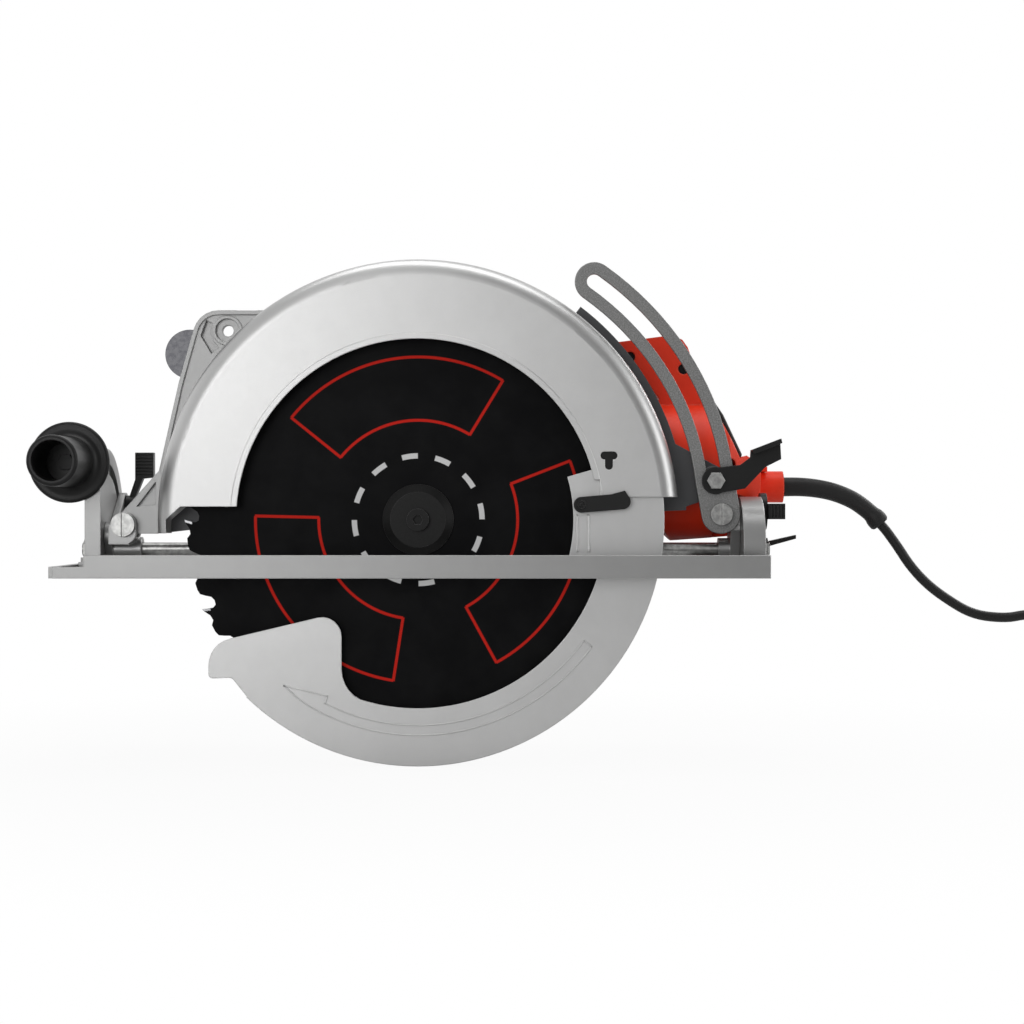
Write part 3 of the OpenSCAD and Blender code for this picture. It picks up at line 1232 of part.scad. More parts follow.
module cord_tie() color([0.2, 0.2, 0.2]) translate([coil_centre[0], coil_centre[1], coil_z0])
    rotate([0, 0, tie_a]) rotate([90, 0, 0])
    linear_extrude(10, center = true) difference() {
        rounded([coil_inner_r - cord_r - 2, -cord_r - tie_t],
            [coil_outer_r + cord_r + 3, coil_rise + cord_r + 0.6 + tie_t], 4);
        rounded([coil_inner_r - cord_r - 2 + tie_t, -cord_r - 0.1],
            [coil_outer_r + cord_r + 3 - tie_t, coil_rise + cord_r + 0.6], 3);
    }

plug_at = coil_last + plug_tail * coil_out;

module on_plug() translate(plug_at) rotate([0, 0, coil_end_a + 90]) rotate([0, 90, 0]) children();

module plug_body() color([0.12, 0.12, 0.12]) on_plug() difference() {
    union() {
        cylinder(r1 = cord_r + 2, r2 = plug_r - 3, h = 16);
        translate([0, 0, 15]) cylinder(r = plug_r, h = plug_l - 15);
    }
    translate([plug_r - 1, -20, -1]) cube([10, 40, 80]);
}

module plug_blades() color("gold") on_plug() {
    for (s = [-1, 1]) translate([-4, s * 6.35 - 0.75, plug_l]) cube([6.3, 1.5, 16]);
    translate([6.5, 0, plug_l]) cylinder(r = 2.4, h = 19);
}

foot_plate();
front_quadrant();
rear_quadrant();
quadrant_bolts();
front_grip();
grip_bolt();
fence_lever();
front_yoke();
rear_yoke();
tie_rod();
depth_pivot_bolt();
bracket_screw();
bevel_studs();
front_bevel_lever();
rear_bevel_lever();
depth_bracket();
upper_guard();
guard_web();
guard_backplate();
guard_screws();
gear_housing();
gear_cover();
cover_screws();
bearings();
motor_housing();
stator();
brush_caps();
brushes();
handle_left();
handle_right();
handle_screws();
rubber_grip();
switch();
cord_sleeve();
side_handle_bar();
side_handle_grip();
depth_bolt();
guard_spring();
guard_retainer();
saw_blade();
carbide_tips();
inner_flange();
outer_flange();
arbor_bolt();
arbor_shaft();
worm_wheel();
worm();
armature_shaft();
armature_core();
fan();
lower_guard();
lift_lever();
depth_lever();
trigger();
lock_button();
power_cord();
cord_coil();
cord_tie();
plug_body();
plug_blades();
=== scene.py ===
# %% [markdown]
# # A worm drive circular saw
# The metal frame of the saw arrives as finished solids, each in its right place.
# This lesson dresses them: it gives every part its finish, and adds what a machinist's
# drawing leaves out, such as the cord, the moulded sleeve and the raised arrow on the guard.

# %% Tools and frame
import math

import bmesh
import bpy
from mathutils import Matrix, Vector


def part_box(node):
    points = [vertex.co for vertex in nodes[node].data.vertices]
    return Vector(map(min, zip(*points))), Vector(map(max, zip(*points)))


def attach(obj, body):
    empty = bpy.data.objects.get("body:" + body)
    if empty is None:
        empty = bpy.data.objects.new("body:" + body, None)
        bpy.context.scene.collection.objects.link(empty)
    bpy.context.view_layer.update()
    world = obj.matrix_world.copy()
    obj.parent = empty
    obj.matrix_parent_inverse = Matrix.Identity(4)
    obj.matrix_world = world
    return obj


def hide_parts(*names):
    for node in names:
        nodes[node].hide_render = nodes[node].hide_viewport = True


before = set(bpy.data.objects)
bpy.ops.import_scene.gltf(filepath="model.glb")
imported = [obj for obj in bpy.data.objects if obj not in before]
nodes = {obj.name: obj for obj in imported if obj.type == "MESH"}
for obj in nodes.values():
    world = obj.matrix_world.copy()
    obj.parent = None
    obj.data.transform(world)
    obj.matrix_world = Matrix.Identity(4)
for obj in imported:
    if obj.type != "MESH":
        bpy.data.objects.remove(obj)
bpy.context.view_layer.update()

# %% [markdown]
# ## Camera
# The saw was photographed straight from the side, level with the middle of its blade and with a
# long lens. A camera two metres away with a narrow view gives the same flat perspective.

# %% Camera
camera_data = bpy.data.cameras.new("camera")
camera_data.sensor_width = 36
camera_data.lens = 79.4
camera = bpy.data.objects.new("camera", camera_data)
camera.location = (0.344, -2.0, 0.0573)
camera.rotation_euler = (math.radians(90), 0, 0)
bpy.context.scene.collection.objects.link(camera)
bpy.context.scene.camera = camera
print("camera at", tuple(round(v, 3) for v in camera.location))

# %% [markdown]
# ## Writing nodes as sums
# Light and finishes are both small sums: some noise times a strength, plus a base value.
# `Wire` lets those sums be written in plain Python. It is a number that changes from place to
# place, and each operator on it adds a Math node. Every node comes from one function, which
# takes its type, its settings, and a value or a link for each socket.

# %% Wires and nodes


class Wire:
    """A number that changes from place to place"""

    def __init__(self, tree, socket):
        self.tree = tree
        self.socket = socket

    def sum_with(self, operation, *values):
        node = add_node(self.tree, "ShaderNodeMath", {"operation": operation}, dict(enumerate(values)))
        return Wire(self.tree, node.outputs[0])

    def __add__(self, other):
        return self.sum_with("ADD", self, other)

    __radd__ = __add__

    def __sub__(self, other):
        return self.sum_with("SUBTRACT", self, other)

    def __rsub__(self, other):
        return self.sum_with("SUBTRACT", other, self)

    def __mul__(self, other):
        return self.sum_with("MULTIPLY", self, other)

    __rmul__ = __mul__

    def __pow__(self, other):
        return self.sum_with("POWER", self, other)

    def __abs__(self):
        return self.sum_with("ABSOLUTE", self)

    def least(self, other):
        return self.sum_with("MINIMUM", self, other)

    def most(self, other):
        return self.sum_with("MAXIMUM", self, other)

    def between(self, low, high, first=0.0, last=1.0):
        """The first level up to low, the last one from high on, and a soft step between"""
        node = add_node(self.tree, "ShaderNodeMapRange", {"interpolation_type": "SMOOTHSTEP"},
            {"Value": self, "From Min": low, "From Max": high, "To Min": first, "To Max": last})
        return Wire(self.tree, node.outputs["Result"])


def join(tree, value, slot):
    """Link what comes from another node, or set a plain value"""
    source = value.socket if isinstance(value, Wire) else value
    if isinstance(source, bpy.types.NodeSocket):
        tree.links.new(source, slot)
    elif slot.type == "RGBA" and len(source) == 3:
        slot.default_value = (*source, 1)
    else:
        slot.default_value = source


def add_node(tree, kind, settings=None, sockets=None):
    """A node with its settings, and a value or a link for each socket"""
    node = tree.nodes.new(kind)
    for key, value in (settings or {}).items():
        setattr(node, key, value)
    for key, value in (sockets or {}).items():
        join(tree, value, node.inputs[key])
    return node


def split_axes(tree, place):
    """The X, Y and Z of a place as three numbers"""
    node = add_node(tree, "ShaderNodeSeparateXYZ", None, {"Vector": place})
    return [Wire(tree, socket) for socket in node.outputs]


def ray_kind(tree, kind):
    """1 for rays of this kind and 0 for the others"""
    return Wire(tree, add_node(tree, "ShaderNodeLightPath").outputs[f"Is {kind} Ray"])


print("nodes can be written as sums")

# %% [markdown]
# ## A finish
# A finish is a material with one Principled shader. Its methods give the few things that every
# surface here is made of: noise, tints, worn edges, softened edges and fine relief. The noise
# reads Object coordinates, so a pattern stays on its piece when the piece moves.

# %% Finish class
# A Mix node repeats the names of its sockets, so its colours are reached by number
mix_first, mix_second, mix_result = 6, 7, 2


def socket_name(word):
    """The shader's own name of a socket, such as Base Color for base_color"""
    return word.replace("_", " ").title().replace("Ior", "IOR")


class Finish:
    """A material with one Principled shader"""

    def __init__(self, name, colour, **fixed):
        self.material = bpy.data.materials.new(name)
        self.material.use_nodes = True
        self.tree = self.material.node_tree
        self.shader = self.tree.nodes["Principled BSDF"]
        self.place = add_node(self.tree, "ShaderNodeTexCoord").outputs["Object"]
        self.give(base_color=colour, **fixed)

    def give(self, **sockets):
        """Set or link sockets of the shader"""
        for key, value in sockets.items():
            join(self.tree, value, self.shader.inputs[socket_name(key)])
        return self.material

    def noise(self, scale, detail, place=None):
        node = add_node(self.tree, "ShaderNodeTexNoise", None,
            {"Vector": place or self.place, "Scale": scale, "Detail": detail, "Roughness": 0.6})
        return Wire(self.tree, node.outputs["Fac"])

    def stretched(self, scale):
        """Places with a scale of their own along each axis"""
        node = add_node(self.tree, "ShaderNodeMapping", None, {"Vector": self.place, "Scale": scale})
        return node.outputs["Vector"]

    def tint(self, factor, first, second):
        """A colour that goes from the first to the second as the factor goes from 0 to 1"""
        node = add_node(self.tree, "ShaderNodeMix", {"data_type": "RGBA"},
            {"Factor": factor, mix_first: first, mix_second: second})
        return node.outputs[mix_result]

    def soft_edges(self, radius):
        """The surface's own direction, rounded over at its edges"""
        return add_node(self.tree, "ShaderNodeBevel", {"samples": 4}, {"Radius": radius}).outputs["Normal"]

    def edge(self, rounded):
        """1 on a sharp edge and 0 on a plain face"""
        plain = add_node(self.tree, "ShaderNodeNewGeometry").outputs["Normal"]
        node = add_node(self.tree, "ShaderNodeVectorMath", {"operation": "DOT_PRODUCT"},
            {0: rounded, 1: plain})
        return (1 - Wire(self.tree, node.outputs["Value"])).between(0.004, 0.12)

    def relief(self, height, distance, strength, under):
        """Fine bumps on top of the direction that lies under them"""
        node = add_node(self.tree, "ShaderNodeBump", None,
            {"Height": height, "Distance": distance, "Strength": strength, "Normal": under})
        self.give(normal=node.outputs["Normal"])


print("finishes can be mixed")

# %% [markdown]
# ## Lamps
# A catalogue picture is lit by large soft lamps against a white sweep. Four wide area lamps do
# that here: the key at the left behind the camera, one overhead, one from behind and one from
# the right.

# %% Lamps
bpy.context.scene.view_settings.view_transform = "Standard"


def lamp(name, place, aim, size, power):
    data = bpy.data.lights.new(name, "AREA")
    data.shape = "RECTANGLE"
    data.size, data.size_y = size
    data.energy = power
    shape = bpy.data.objects.new(name, data)
    shape.location = place
    shape.rotation_euler = (Vector(aim) - Vector(place)).to_track_quat("-Z", "Y").to_euler()
    bpy.context.scene.collection.objects.link(shape)


lamp("key", place=(-0.4, -2.3, 0.4), aim=(0.2, 0, 0.08), size=(0.7, 1.0), power=7.5)
lamp("top", place=(0.4, 0.1, 1.7), aim=(0.35, 0, 0.05), size=(1.8, 0.9), power=11)
lamp("rim", place=(1.6, 1.0, 0.9), aim=(0.4, 0, 0.1), size=(0.8, 0.8), power=8)
lamp("side", place=(1.7, -0.45, 0.25), aim=(0.45, 0, 0.05), size=(0.5, 1.3), power=4)
print("lamps:", [light.name for light in bpy.data.lights])

# %% [markdown]
# ## Sky
# Where the eye meets the sky, it is white. In reflections it is a studio: white at the back,
# dimmer overhead, and dark behind the camera apart from a soft panel at the left. So flat metal
# shades from left to right, while its rounded shoulders stay bright. As plain light the sky is
# a weak even fill.

# %% Sky
plain_level, overhead_level = 0.5, 0.55
panel_level, dark_level = 0.9, 0.04

sky = bpy.data.worlds.new("sky")
sky.use_nodes = True
bpy.context.scene.world = sky
sky_tree = sky.node_tree
sky_back = sky_tree.nodes["Background"]
sky_way = add_node(sky_tree, "ShaderNodeTexCoord").outputs["Generated"]
aside, ahead, above = split_axes(sky_tree, sky_way)
panel = aside.between(-0.6, -0.14, 0.6, 1.0) * aside.between(-0.12, 0.3, 1.0, 0.0)
overhead = above.between(0.25, 0.9, 1.0, overhead_level)
room = ahead.between(-1.0, 0.1, panel * panel_level + dark_level, overhead)
seen = ray_kind(sky_tree, "Camera")
mirrored = seen.most(ray_kind(sky_tree, "Glossy")).most(ray_kind(sky_tree, "Transmission"))
sky_level = mirrored.between(0.0, 1.0, plain_level, room).most(seen)
join(sky_tree, (1, 1, 1), sky_back.inputs["Color"])
join(sky_tree, sky_level, sky_back.inputs["Strength"])
print("sky with", len(sky_tree.nodes), "nodes")

# %% [markdown]
# ## Floor
# The saw stands on a white sweep, with only a faint shadow under it. The floor takes shadows as
# plain grey paper, and most of what the eye sees of it is white. That white is for the eye
# alone, so it doesn't wash out the metal above it.

# %% Floor
floor_z = -0.1666
paper_centre = (0.3, 0.05, floor_z)
paper_near, paper_far, paper_share = 0.25, 0.9, 0.94

floor_mesh = bmesh.new()
bmesh.ops.create_grid(floor_mesh, x_segments=1, y_segments=1, size=30)
bmesh.ops.translate(floor_mesh, vec=(0.3, 0, floor_z), verts=floor_mesh.verts)
floor_data = bpy.data.meshes.new("floor")
floor_mesh.to_mesh(floor_data)
floor_mesh.free()
floor = bpy.data.objects.new("floor", floor_data)
bpy.context.scene.collection.objects.link(floor)

floor_paint = Finish("floor_paint", (0.6, 0.6, 0.6), roughness=0.9)
floor_tree = floor_paint.tree
away = add_node(floor_tree, "ShaderNodeVectorMath", {"operation": "DISTANCE"},
    {0: floor_paint.place, 1: paper_centre})
paper = Wire(floor_tree, away.outputs["Value"]).between(paper_near, paper_far, paper_share, 1.0)
white = add_node(floor_tree, "ShaderNodeEmission", None, {"Color": (1, 1, 1)})
blend = add_node(floor_tree, "ShaderNodeMixShader", None,
    {0: ray_kind(floor_tree, "Camera") * paper, 1: floor_paint.shader.outputs[0], 2: white.outputs[0]})
join(floor_tree, blend.outputs[0], floor_tree.nodes["Material Output"].inputs["Surface"])
floor_data.materials.append(floor_paint.material)
print("floor at", floor_z, "m")

# %% [markdown]
# ## Cast and machined metal
# The guards and the foot are a light alloy, cast in sand and then blasted, so they have a
# fine grain, faint clouds in the grey, and bright edges where hands and timber rub. The
# hardware is zinc plated, and the depth bracket is tumbled steel with a speckle.

# %% Metals


def shade(colour, factor):
    """The same colour, darker or lighter"""
    return tuple(min(1, c * factor) for c in colour)


def cast_alloy(name, grey, rough):
    made = Finish(name, grey, metallic=0.85)
    rounded = made.soft_edges(radius=0.0011)
    worn = made.edge(rounded)
    cloud = made.noise(scale=34, detail=4)
    grain = made.noise(scale=1300, detail=3)
    base = made.tint(cloud.between(0.25, 0.75), shade(grey, 0.97), shade(grey, 1.02))
    colour = made.tint(worn * 0.55, base, (0.86, 0.86, 0.85))
    made.relief(grain, distance=0.00009, strength=0.55, under=rounded)
    roughness = rough + 0.14 * (grain - 0.5) + 0.03 * cloud - 0.08 * worn
    return made.give(base_color=colour, roughness=roughness)


guard_alloy = cast_alloy("guard_alloy", (0.58, 0.58, 0.577), rough=0.36)
foot_alloy = cast_alloy("foot_alloy", (0.34, 0.34, 0.338), rough=0.36)
web_alloy = cast_alloy("web_alloy", (0.36, 0.36, 0.358), rough=0.42)
housing_alloy = cast_alloy("housing_alloy", (0.46, 0.46, 0.46), rough=0.42)


def zinc_plate():
    made = Finish("zinc_plate", (0.72, 0.72, 0.7), metallic=1.0)
    rounded = made.soft_edges(radius=0.0006)
    worn = made.edge(rounded)
    frost = made.noise(scale=2600, detail=2)
    patch = made.noise(scale=220, detail=3)
    base = made.tint(patch.between(0.3, 0.75), (0.3, 0.3, 0.295), (0.5, 0.5, 0.49))
    colour = made.tint(worn * 0.5, base, (0.88, 0.88, 0.86))
    made.relief(frost, distance=0.00002, strength=0.3, under=rounded)
    return made.give(base_color=colour, roughness=0.26 + 0.1 * frost + 0.08 * patch)


zinc = zinc_plate()


def tumbled_steel():
    made = Finish("tumbled_steel", (0.22, 0.22, 0.22), metallic=0.9)
    rounded = made.soft_edges(radius=0.0009)
    worn = made.edge(rounded)
    speck = made.noise(scale=900, detail=4)
    patch = made.noise(scale=40, detail=2)
    base = made.tint(speck.between(0.3, 0.72), (0.17, 0.17, 0.17), (0.34, 0.34, 0.335))
    colour = made.tint(worn * 0.8, base, (0.62, 0.62, 0.61))
    made.relief(speck, distance=0.00012, strength=0.5, under=rounded)
    return made.give(base_color=colour, roughness=0.42 + 0.14 * speck - 0.1 * worn + 0.06 * patch)


bracket_steel = tumbled_steel()


def machined(name, colour, dark):
    made = Finish(name, colour, metallic=1.0)
    rounded = made.soft_edges(radius=0.0005)
    lay = made.noise(scale=1, detail=3, place=made.stretched((260, 1500, 260)))
    made.relief(lay, distance=0.00001, strength=0.4, under=rounded)
    return made.give(base_color=made.tint(lay.between(0.3, 0.7), dark, colour), roughness=0.2 + 0.16 * lay)


bright_steel = machined("bright_steel", (0.62, 0.62, 0.62), dark=(0.5, 0.5, 0.5))
wheel_bronze = machined("wheel_bronze", (0.72, 0.48, 0.18), dark=(0.58, 0.36, 0.12))
winding_copper = machined("winding_copper", (0.7, 0.34, 0.15), dark=(0.5, 0.22, 0.09))
ground_carbide = machined("ground_carbide", (0.36, 0.36, 0.37), dark=(0.28, 0.28, 0.29))
dark_chrome = machined("dark_chrome", (0.09, 0.09, 0.095), dark=(0.05, 0.05, 0.055))


def dark_paint():
    made = Finish("dark_paint", (0.065, 0.066, 0.07), metallic=0.25)
    rounded = made.soft_edges(radius=0.0012)
    worn = made.edge(rounded)
    grain = made.noise(scale=1100, detail=2)
    cloud = made.noise(scale=14, detail=2)
    base = made.tint(cloud.between(0.3, 0.7), (0.055, 0.056, 0.06), (0.08, 0.081, 0.085))
    colour = made.tint(worn * 0.5, base, (0.3, 0.3, 0.3))
    made.relief(grain, distance=0.0001, strength=0.5, under=rounded)
    return made.give(base_color=colour, roughness=0.42 + 0.1 * (grain - 0.5))


housing_paint = dark_paint()
print("metals are mixed")

# %% [markdown]
# ## Plastics and rubber
# The red handle shells have a fine spark texture, so they scatter light softly. The grips
# are black nylon, a little glossier. Rubber is matt.

# %% Plastics


def moulded(name, colour, rough, scale, depth, edge_tint, round_off=0.0012):
    made = Finish(name, colour, specular_ior_level=0.25)
    rounded = made.soft_edges(round_off)
    worn = made.edge(rounded)
    spark = made.noise(scale, detail=2)
    cloud = made.noise(scale=18, detail=2)
    base = made.tint(cloud.between(0.3, 0.7), shade(colour, 0.9), shade(colour, 1.08))
    made.relief(spark, depth, strength=0.5, under=rounded)
    roughness = rough + 0.14 * (spark - 0.5)
    return made.give(base_color=made.tint(worn * 0.4, base, edge_tint), roughness=roughness)


red_shell = moulded("red_shell", (0.86, 0.042, 0.012), rough=0.4, scale=1300, depth=0.00012,
    edge_tint=(0.9, 0.16, 0.08), round_off=0.0022)
black_nylon = moulded("black_nylon", (0.012, 0.012, 0.012), rough=0.34, scale=1500, depth=0.0001,
    edge_tint=(0.06, 0.06, 0.06))
soft_rubber = moulded("soft_rubber", (0.016, 0.016, 0.016), rough=0.5, scale=1700, depth=0.00008,
    edge_tint=(0.05, 0.05, 0.05))
lead_sheath = moulded("lead_sheath", (0.014, 0.014, 0.014), rough=0.4, scale=2200, depth=0.00005,
    edge_tint=(0.03, 0.03, 0.03))
carbon_block = moulded("carbon_block", (0.03, 0.03, 0.03), rough=0.6, scale=900, depth=0.0001,
    edge_tint=(0.08, 0.08, 0.08))
print("plastics are mixed")

# %% [markdown]
# ## The coat on the blade
# The blade has a black low-friction coat, rolled on and faintly streaked round the centre,
# with thin red lines printed on it. The print is worked out from each point's distance and
# angle about the arbor: three wide outlined windows, and a broken white ring by the flange.
# The flange and a few bolts are blacked steel.

# %% Blade coat
arbor_low, arbor_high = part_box("saw_blade")
arbor = (arbor_low + arbor_high) / 2
window_turn = 2 * math.pi / 3
window_start, window_half = 0.35, 0.72
window_inner, window_outer = 0.088, 0.144
line_half, line_edge = 0.00125, 0.0004
ring_r, ring_half, ring_dashes = 0.0565, 0.0021, 12


def blade_coat():
    made = Finish("blade_coat", (0.008, 0.008, 0.009), specular_ior_level=0.06)
    x, _, z = split_axes(made.tree, made.place)
    across = x - arbor.x
    up = z - arbor.z
    reach = (across * across + up * up) ** 0.5
    bearing = up.sum_with("ARCTAN2", up, across)
    phase = bearing + (math.pi + window_start)
    turn = phase.sum_with("MODULO", phase, window_turn) - window_turn / 2
    inside = 1 - (abs(turn) - window_half).between(-0.001, 0.001)
    arcs = abs(reach - window_inner).least(abs(reach - window_outer))
    arc_mask = inside * (1 - arcs.between(line_half - line_edge, line_half + line_edge))
    spoke = abs(abs(turn) - window_half) * reach
    within = (reach - window_inner).between(-0.001, 0.0) * (1 - (reach - window_outer).between(0.0, 0.001))
    spoke_mask = within * (1 - spoke.between(line_half - line_edge, line_half + line_edge))
    print_red = arc_mask.most(spoke_mask)
    beat = bearing * ring_dashes
    dash = beat.sum_with("SINE", beat).between(0.0, 0.15)
    print_white = dash * (1 - abs(reach - ring_r).between(ring_half, ring_half + 0.0005))
    swirl = add_node(made.tree, "ShaderNodeCombineXYZ", None, {"X": reach * 900, "Y": bearing * 4})
    streak = made.noise(scale=1, detail=4, place=swirl.outputs["Vector"])
    cloud = made.noise(scale=25, detail=3)
    coat = made.tint(cloud.between(0.3, 0.75), (0.003, 0.003, 0.0035), (0.007, 0.007, 0.0075))
    red = made.tint(print_red, coat, (0.62, 0.02, 0.012))
    colour = made.tint(print_white, red, (0.72, 0.72, 0.72))
    made.relief(streak, distance=0.00002, strength=0.4, under=made.soft_edges(radius=0.0004))
    return made.give(base_color=colour, roughness=0.36 + 0.16 * streak + 0.1 * print_red)


blade_paint = blade_coat()


def black_oxide():
    made = Finish("black_oxide", (0.01, 0.01, 0.01), metallic=0.6, specular_ior_level=0.25)
    rounded = made.soft_edges(radius=0.0006)
    worn = made.edge(rounded)
    lay = made.noise(scale=1, detail=3, place=made.stretched((700, 80, 700)))
    base = made.tint(lay, (0.009, 0.009, 0.009), (0.02, 0.02, 0.02))
    made.relief(lay, distance=0.00003, strength=0.5, under=rounded)
    return made.give(base_color=made.tint(worn * 0.6, base, (0.2, 0.2, 0.2)), roughness=0.3 + 0.15 * lay)


flange_oxide = black_oxide()
print("blade coat is mixed, about an arbor at", tuple(round(v, 4) for v in arbor))

# %% [markdown]
# ## Handing out the finishes
# Every solid of the frame gets its finish by name, so that no part is left plain.

# %% Finishes by name
finish_of = {
    guard_alloy: "upper_guard lower_guard",
    web_alloy: "guard_web",
    foot_alloy: "foot_plate front_quadrant rear_quadrant front_yoke rear_yoke",
    housing_alloy: "gear_housing gear_cover",
    zinc: "quadrant_bolts tie_rod depth_pivot_bolt bracket_screw bevel_studs guard_screws "
        "cover_screws depth_bolt",
    dark_chrome: "side_handle_bar",
    bracket_steel: "depth_bracket",
    bright_steel: "bearings guard_spring guard_retainer inner_flange arbor_shaft worm armature_shaft",
    wheel_bronze: "worm_wheel plug_blades",
    winding_copper: "stator armature_core",
    ground_carbide: "carbide_tips",
    housing_paint: "guard_backplate motor_housing",
    red_shell: "handle_left handle_right",
    black_nylon: "front_grip fence_lever front_bevel_lever rear_bevel_lever brush_caps switch fan "
        "lift_lever depth_lever trigger lock_button cord_tie",
    soft_rubber: "rubber_grip side_handle_grip plug_body cord_sleeve",
    lead_sheath: "power_cord cord_coil",
    carbon_block: "brushes",
    blade_paint: "saw_blade",
    flange_oxide: "outer_flange arbor_bolt grip_bolt handle_screws",
}
dressed = set()
for finish, names in finish_of.items():
    for name in names.split():
        nodes[name].data.materials.clear()
        nodes[name].data.materials.append(finish)
        dressed.add(name)
print("finishes handed out; left plain:", [name for name in nodes if name not in dressed])

# %% [markdown]
# ## The power cord
# The lead is one smooth curve with a round section. It leaves the sleeve, sags under its own
# weight, lies along the floor and is put away in a tied coil past the edge of the picture.
# A curve with a bevel is the natural tool, since its length can be measured. Its places are
# in millimetres, as on the drawing.

# %% Power cord
cord_d = 0.009
mm_per_m = 1000
handle_mid = 90.0
free_route = [
    (685, 46), (691, 39), (701, 25), (711, 10), (722, -3), (734, -14), (748, -24), (763, -33),
    (777, -38), (792, -40), (805, -40), (818, -38), (832, -38), (846, -42), (858, -50), (868, -61),
    (876, -75), (883, -91), (889, -107), (897, -123), (908, -138), (922, -150), (938, -158),
    (955, -160.5), (970, -160.5)]
coil_turns, coil_rings = 3.5, 24
coil_outer, coil_pitch, coil_rise, coil_floor = 76.0, 9.7, 9.6, -160.5
coil_inner = coil_outer - coil_pitch * coil_turns
coil_centre = (979.0, 166.0)
plug_tail = 62.0


def coil_point(angle):
    """A point of the coil, which winds inwards on the floor and then outwards on top"""
    layer = 360 * coil_turns
    r = coil_inner + coil_pitch * abs(angle - layer) / 360
    rise = coil_rise * min(1, max(0, (angle - layer + 90) / 180))
    a = math.radians(angle - 90)
    return (coil_centre[0] + r * math.cos(a), coil_centre[1] + r * math.sin(a), coil_floor + rise)


coil = [coil_point(i * 360 / coil_rings) for i in range(int(coil_rings * coil_turns * 2) + 1)]
coil_end = coil[-1]
plug_end = (coil_end[0] + plug_tail, coil_end[1], coil_end[2])
route = [(x, handle_mid, z) for x, z in free_route] + coil[1:] + [plug_end]
route = [Vector(p) / mm_per_m for p in route]


def tube_curve(name, points, radius, finish, radii=None):
    """A round tube along these points, with a share of the radius for each"""
    data = bpy.data.curves.new(name, "CURVE")
    data.dimensions = "3D"
    data.bevel_depth = radius
    data.bevel_resolution = 4
    data.use_fill_caps = True
    data.twist_mode = "MINIMUM"
    line = data.splines.new("POLY")
    line.points.add(len(points) - 1)
    for i, (slot, p) in enumerate(zip(line.points, points)):
        slot.co = (*p, 1)
        slot.radius = radii[i] if radii else 1.0
    line.use_smooth = True
    data.materials.append(finish)
    shape = bpy.data.objects.new(name, data)
    bpy.context.scene.collection.objects.link(shape)
    return shape


def smooth_points(points, steps):
    """More points on the smooth line through these ones"""
    fine = []
    for i in range(len(points) - 1):
        a = points[max(i - 1, 0)]
        b, c = points[i], points[i + 1]
        d = points[min(i + 2, len(points) - 1)]
        for k in range(steps):
            t = k / steps
            fine.append(0.5 * (2 * b + (c - a) * t + (2 * a - 5 * b + 4 * c - d) * t * t
                + (3 * b - a - 3 * c + d) * t ** 3))
    return fine + [points[-1]]


fine_route = smooth_points(route, steps=3)
cord_length = sum((b - a).length for a, b in zip(fine_route, fine_route[1:]))
power_lead = tube_curve("power_lead", fine_route, cord_d / 2, lead_sheath)
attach(power_lead, "saw_body")
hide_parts("power_cord", "cord_coil")
print("cord of", round(cord_length, 3), "m")

# %% [markdown]
# ## The sleeve at the cord's exit
# A rubber sleeve keeps the cord from kinking where it leaves the handle. It narrows slowly,
# and ends in a rolled collar. A second curve, with a radius for each point, gives that taper.

# %% Cord sleeve
sleeve_r, sleeve_taper = 0.0088, 0.13
sleeve_route = [
    (594.5, 80.5), (610, 80.5), (626, 79), (642, 75.5), (658, 69), (670, 61), (679, 53), (685, 46)]
collar_share = 0.98
collar_swell = (0.95, 1.06, 1.1, 1.1, 1.06, 0.9)

sleeve_line = [Vector((x, handle_mid, z)) / mm_per_m for x, z in sleeve_route]
sleeve_fine = smooth_points(sleeve_line, steps=4)
sleeve_radii = [1.0 - sleeve_taper * i / len(sleeve_fine) for i in range(len(sleeve_fine))]
sleeve_radii[-len(collar_swell):] = [swell * collar_share for swell in collar_swell]
sleeve = tube_curve("sleeve", sleeve_fine, sleeve_r, soft_rubber, sleeve_radii)
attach(sleeve, "saw_body")
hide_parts("cord_sleeve")
print("sleeve with", len(sleeve_fine), "points")

# %% [markdown]
# ## The arrow on the lower guard
# The guard carries a raised arrow that shows which way the blade turns. On the casting it is
# a low ridge. A small square is spun about the arbor for the two long arcs, and short bars
# close the tail and the one-sided head.

# %% Guard arrow
guard_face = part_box("lower_guard")[0].y
sunk = 0.0002
ridge_width, ridge_height, ridge_steps = 0.0013, 0.0009, 60


def finished(name, mesh, finish, body):
    """A clean mesh as a piece that rides a body"""
    bmesh.ops.remove_doubles(mesh, verts=mesh.verts, dist=1e-6)
    bmesh.ops.recalc_face_normals(mesh, faces=mesh.faces)
    data = bpy.data.meshes.new(name)
    mesh.to_mesh(data)
    mesh.free()
    data.materials.append(finish)
    shape = bpy.data.objects.new(name, data)
    bpy.context.scene.collection.objects.link(shape)
    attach(shape, body)
    return shape


def at_angle(r, degrees):
    """A place at this distance and angle about the arbor"""
    a = math.radians(degrees)
    return Vector((arbor.x + r * math.cos(a), 0, arbor.z + r * math.sin(a)))


def raise_face(mesh, face, rise):
    """Pull a flat face along Y into a solid"""
    grown = bmesh.ops.extrude_face_region(mesh, geom=[face])["geom"]
    moved = [item for item in grown if isinstance(item, bmesh.types.BMVert)]
    bmesh.ops.translate(mesh, vec=(0, rise, 0), verts=moved)


def ridge_bar(mesh, start, end, width, low, high):
    """A straight bar along the guard's face"""
    way = (end - start).normalized()
    beside = Vector((-way.z, 0, way.x)) * width / 2
    made = bmesh.ops.create_grid(mesh, x_segments=1, y_segments=1, size=1)["verts"]
    for v in made:
        base = end if v.co.x > 0 else start
        v.co = base + beside * (1 if v.co.y > 0 else -1) + Vector((0, low, 0))
    raise_face(mesh, made[0].link_faces[0], high - low)


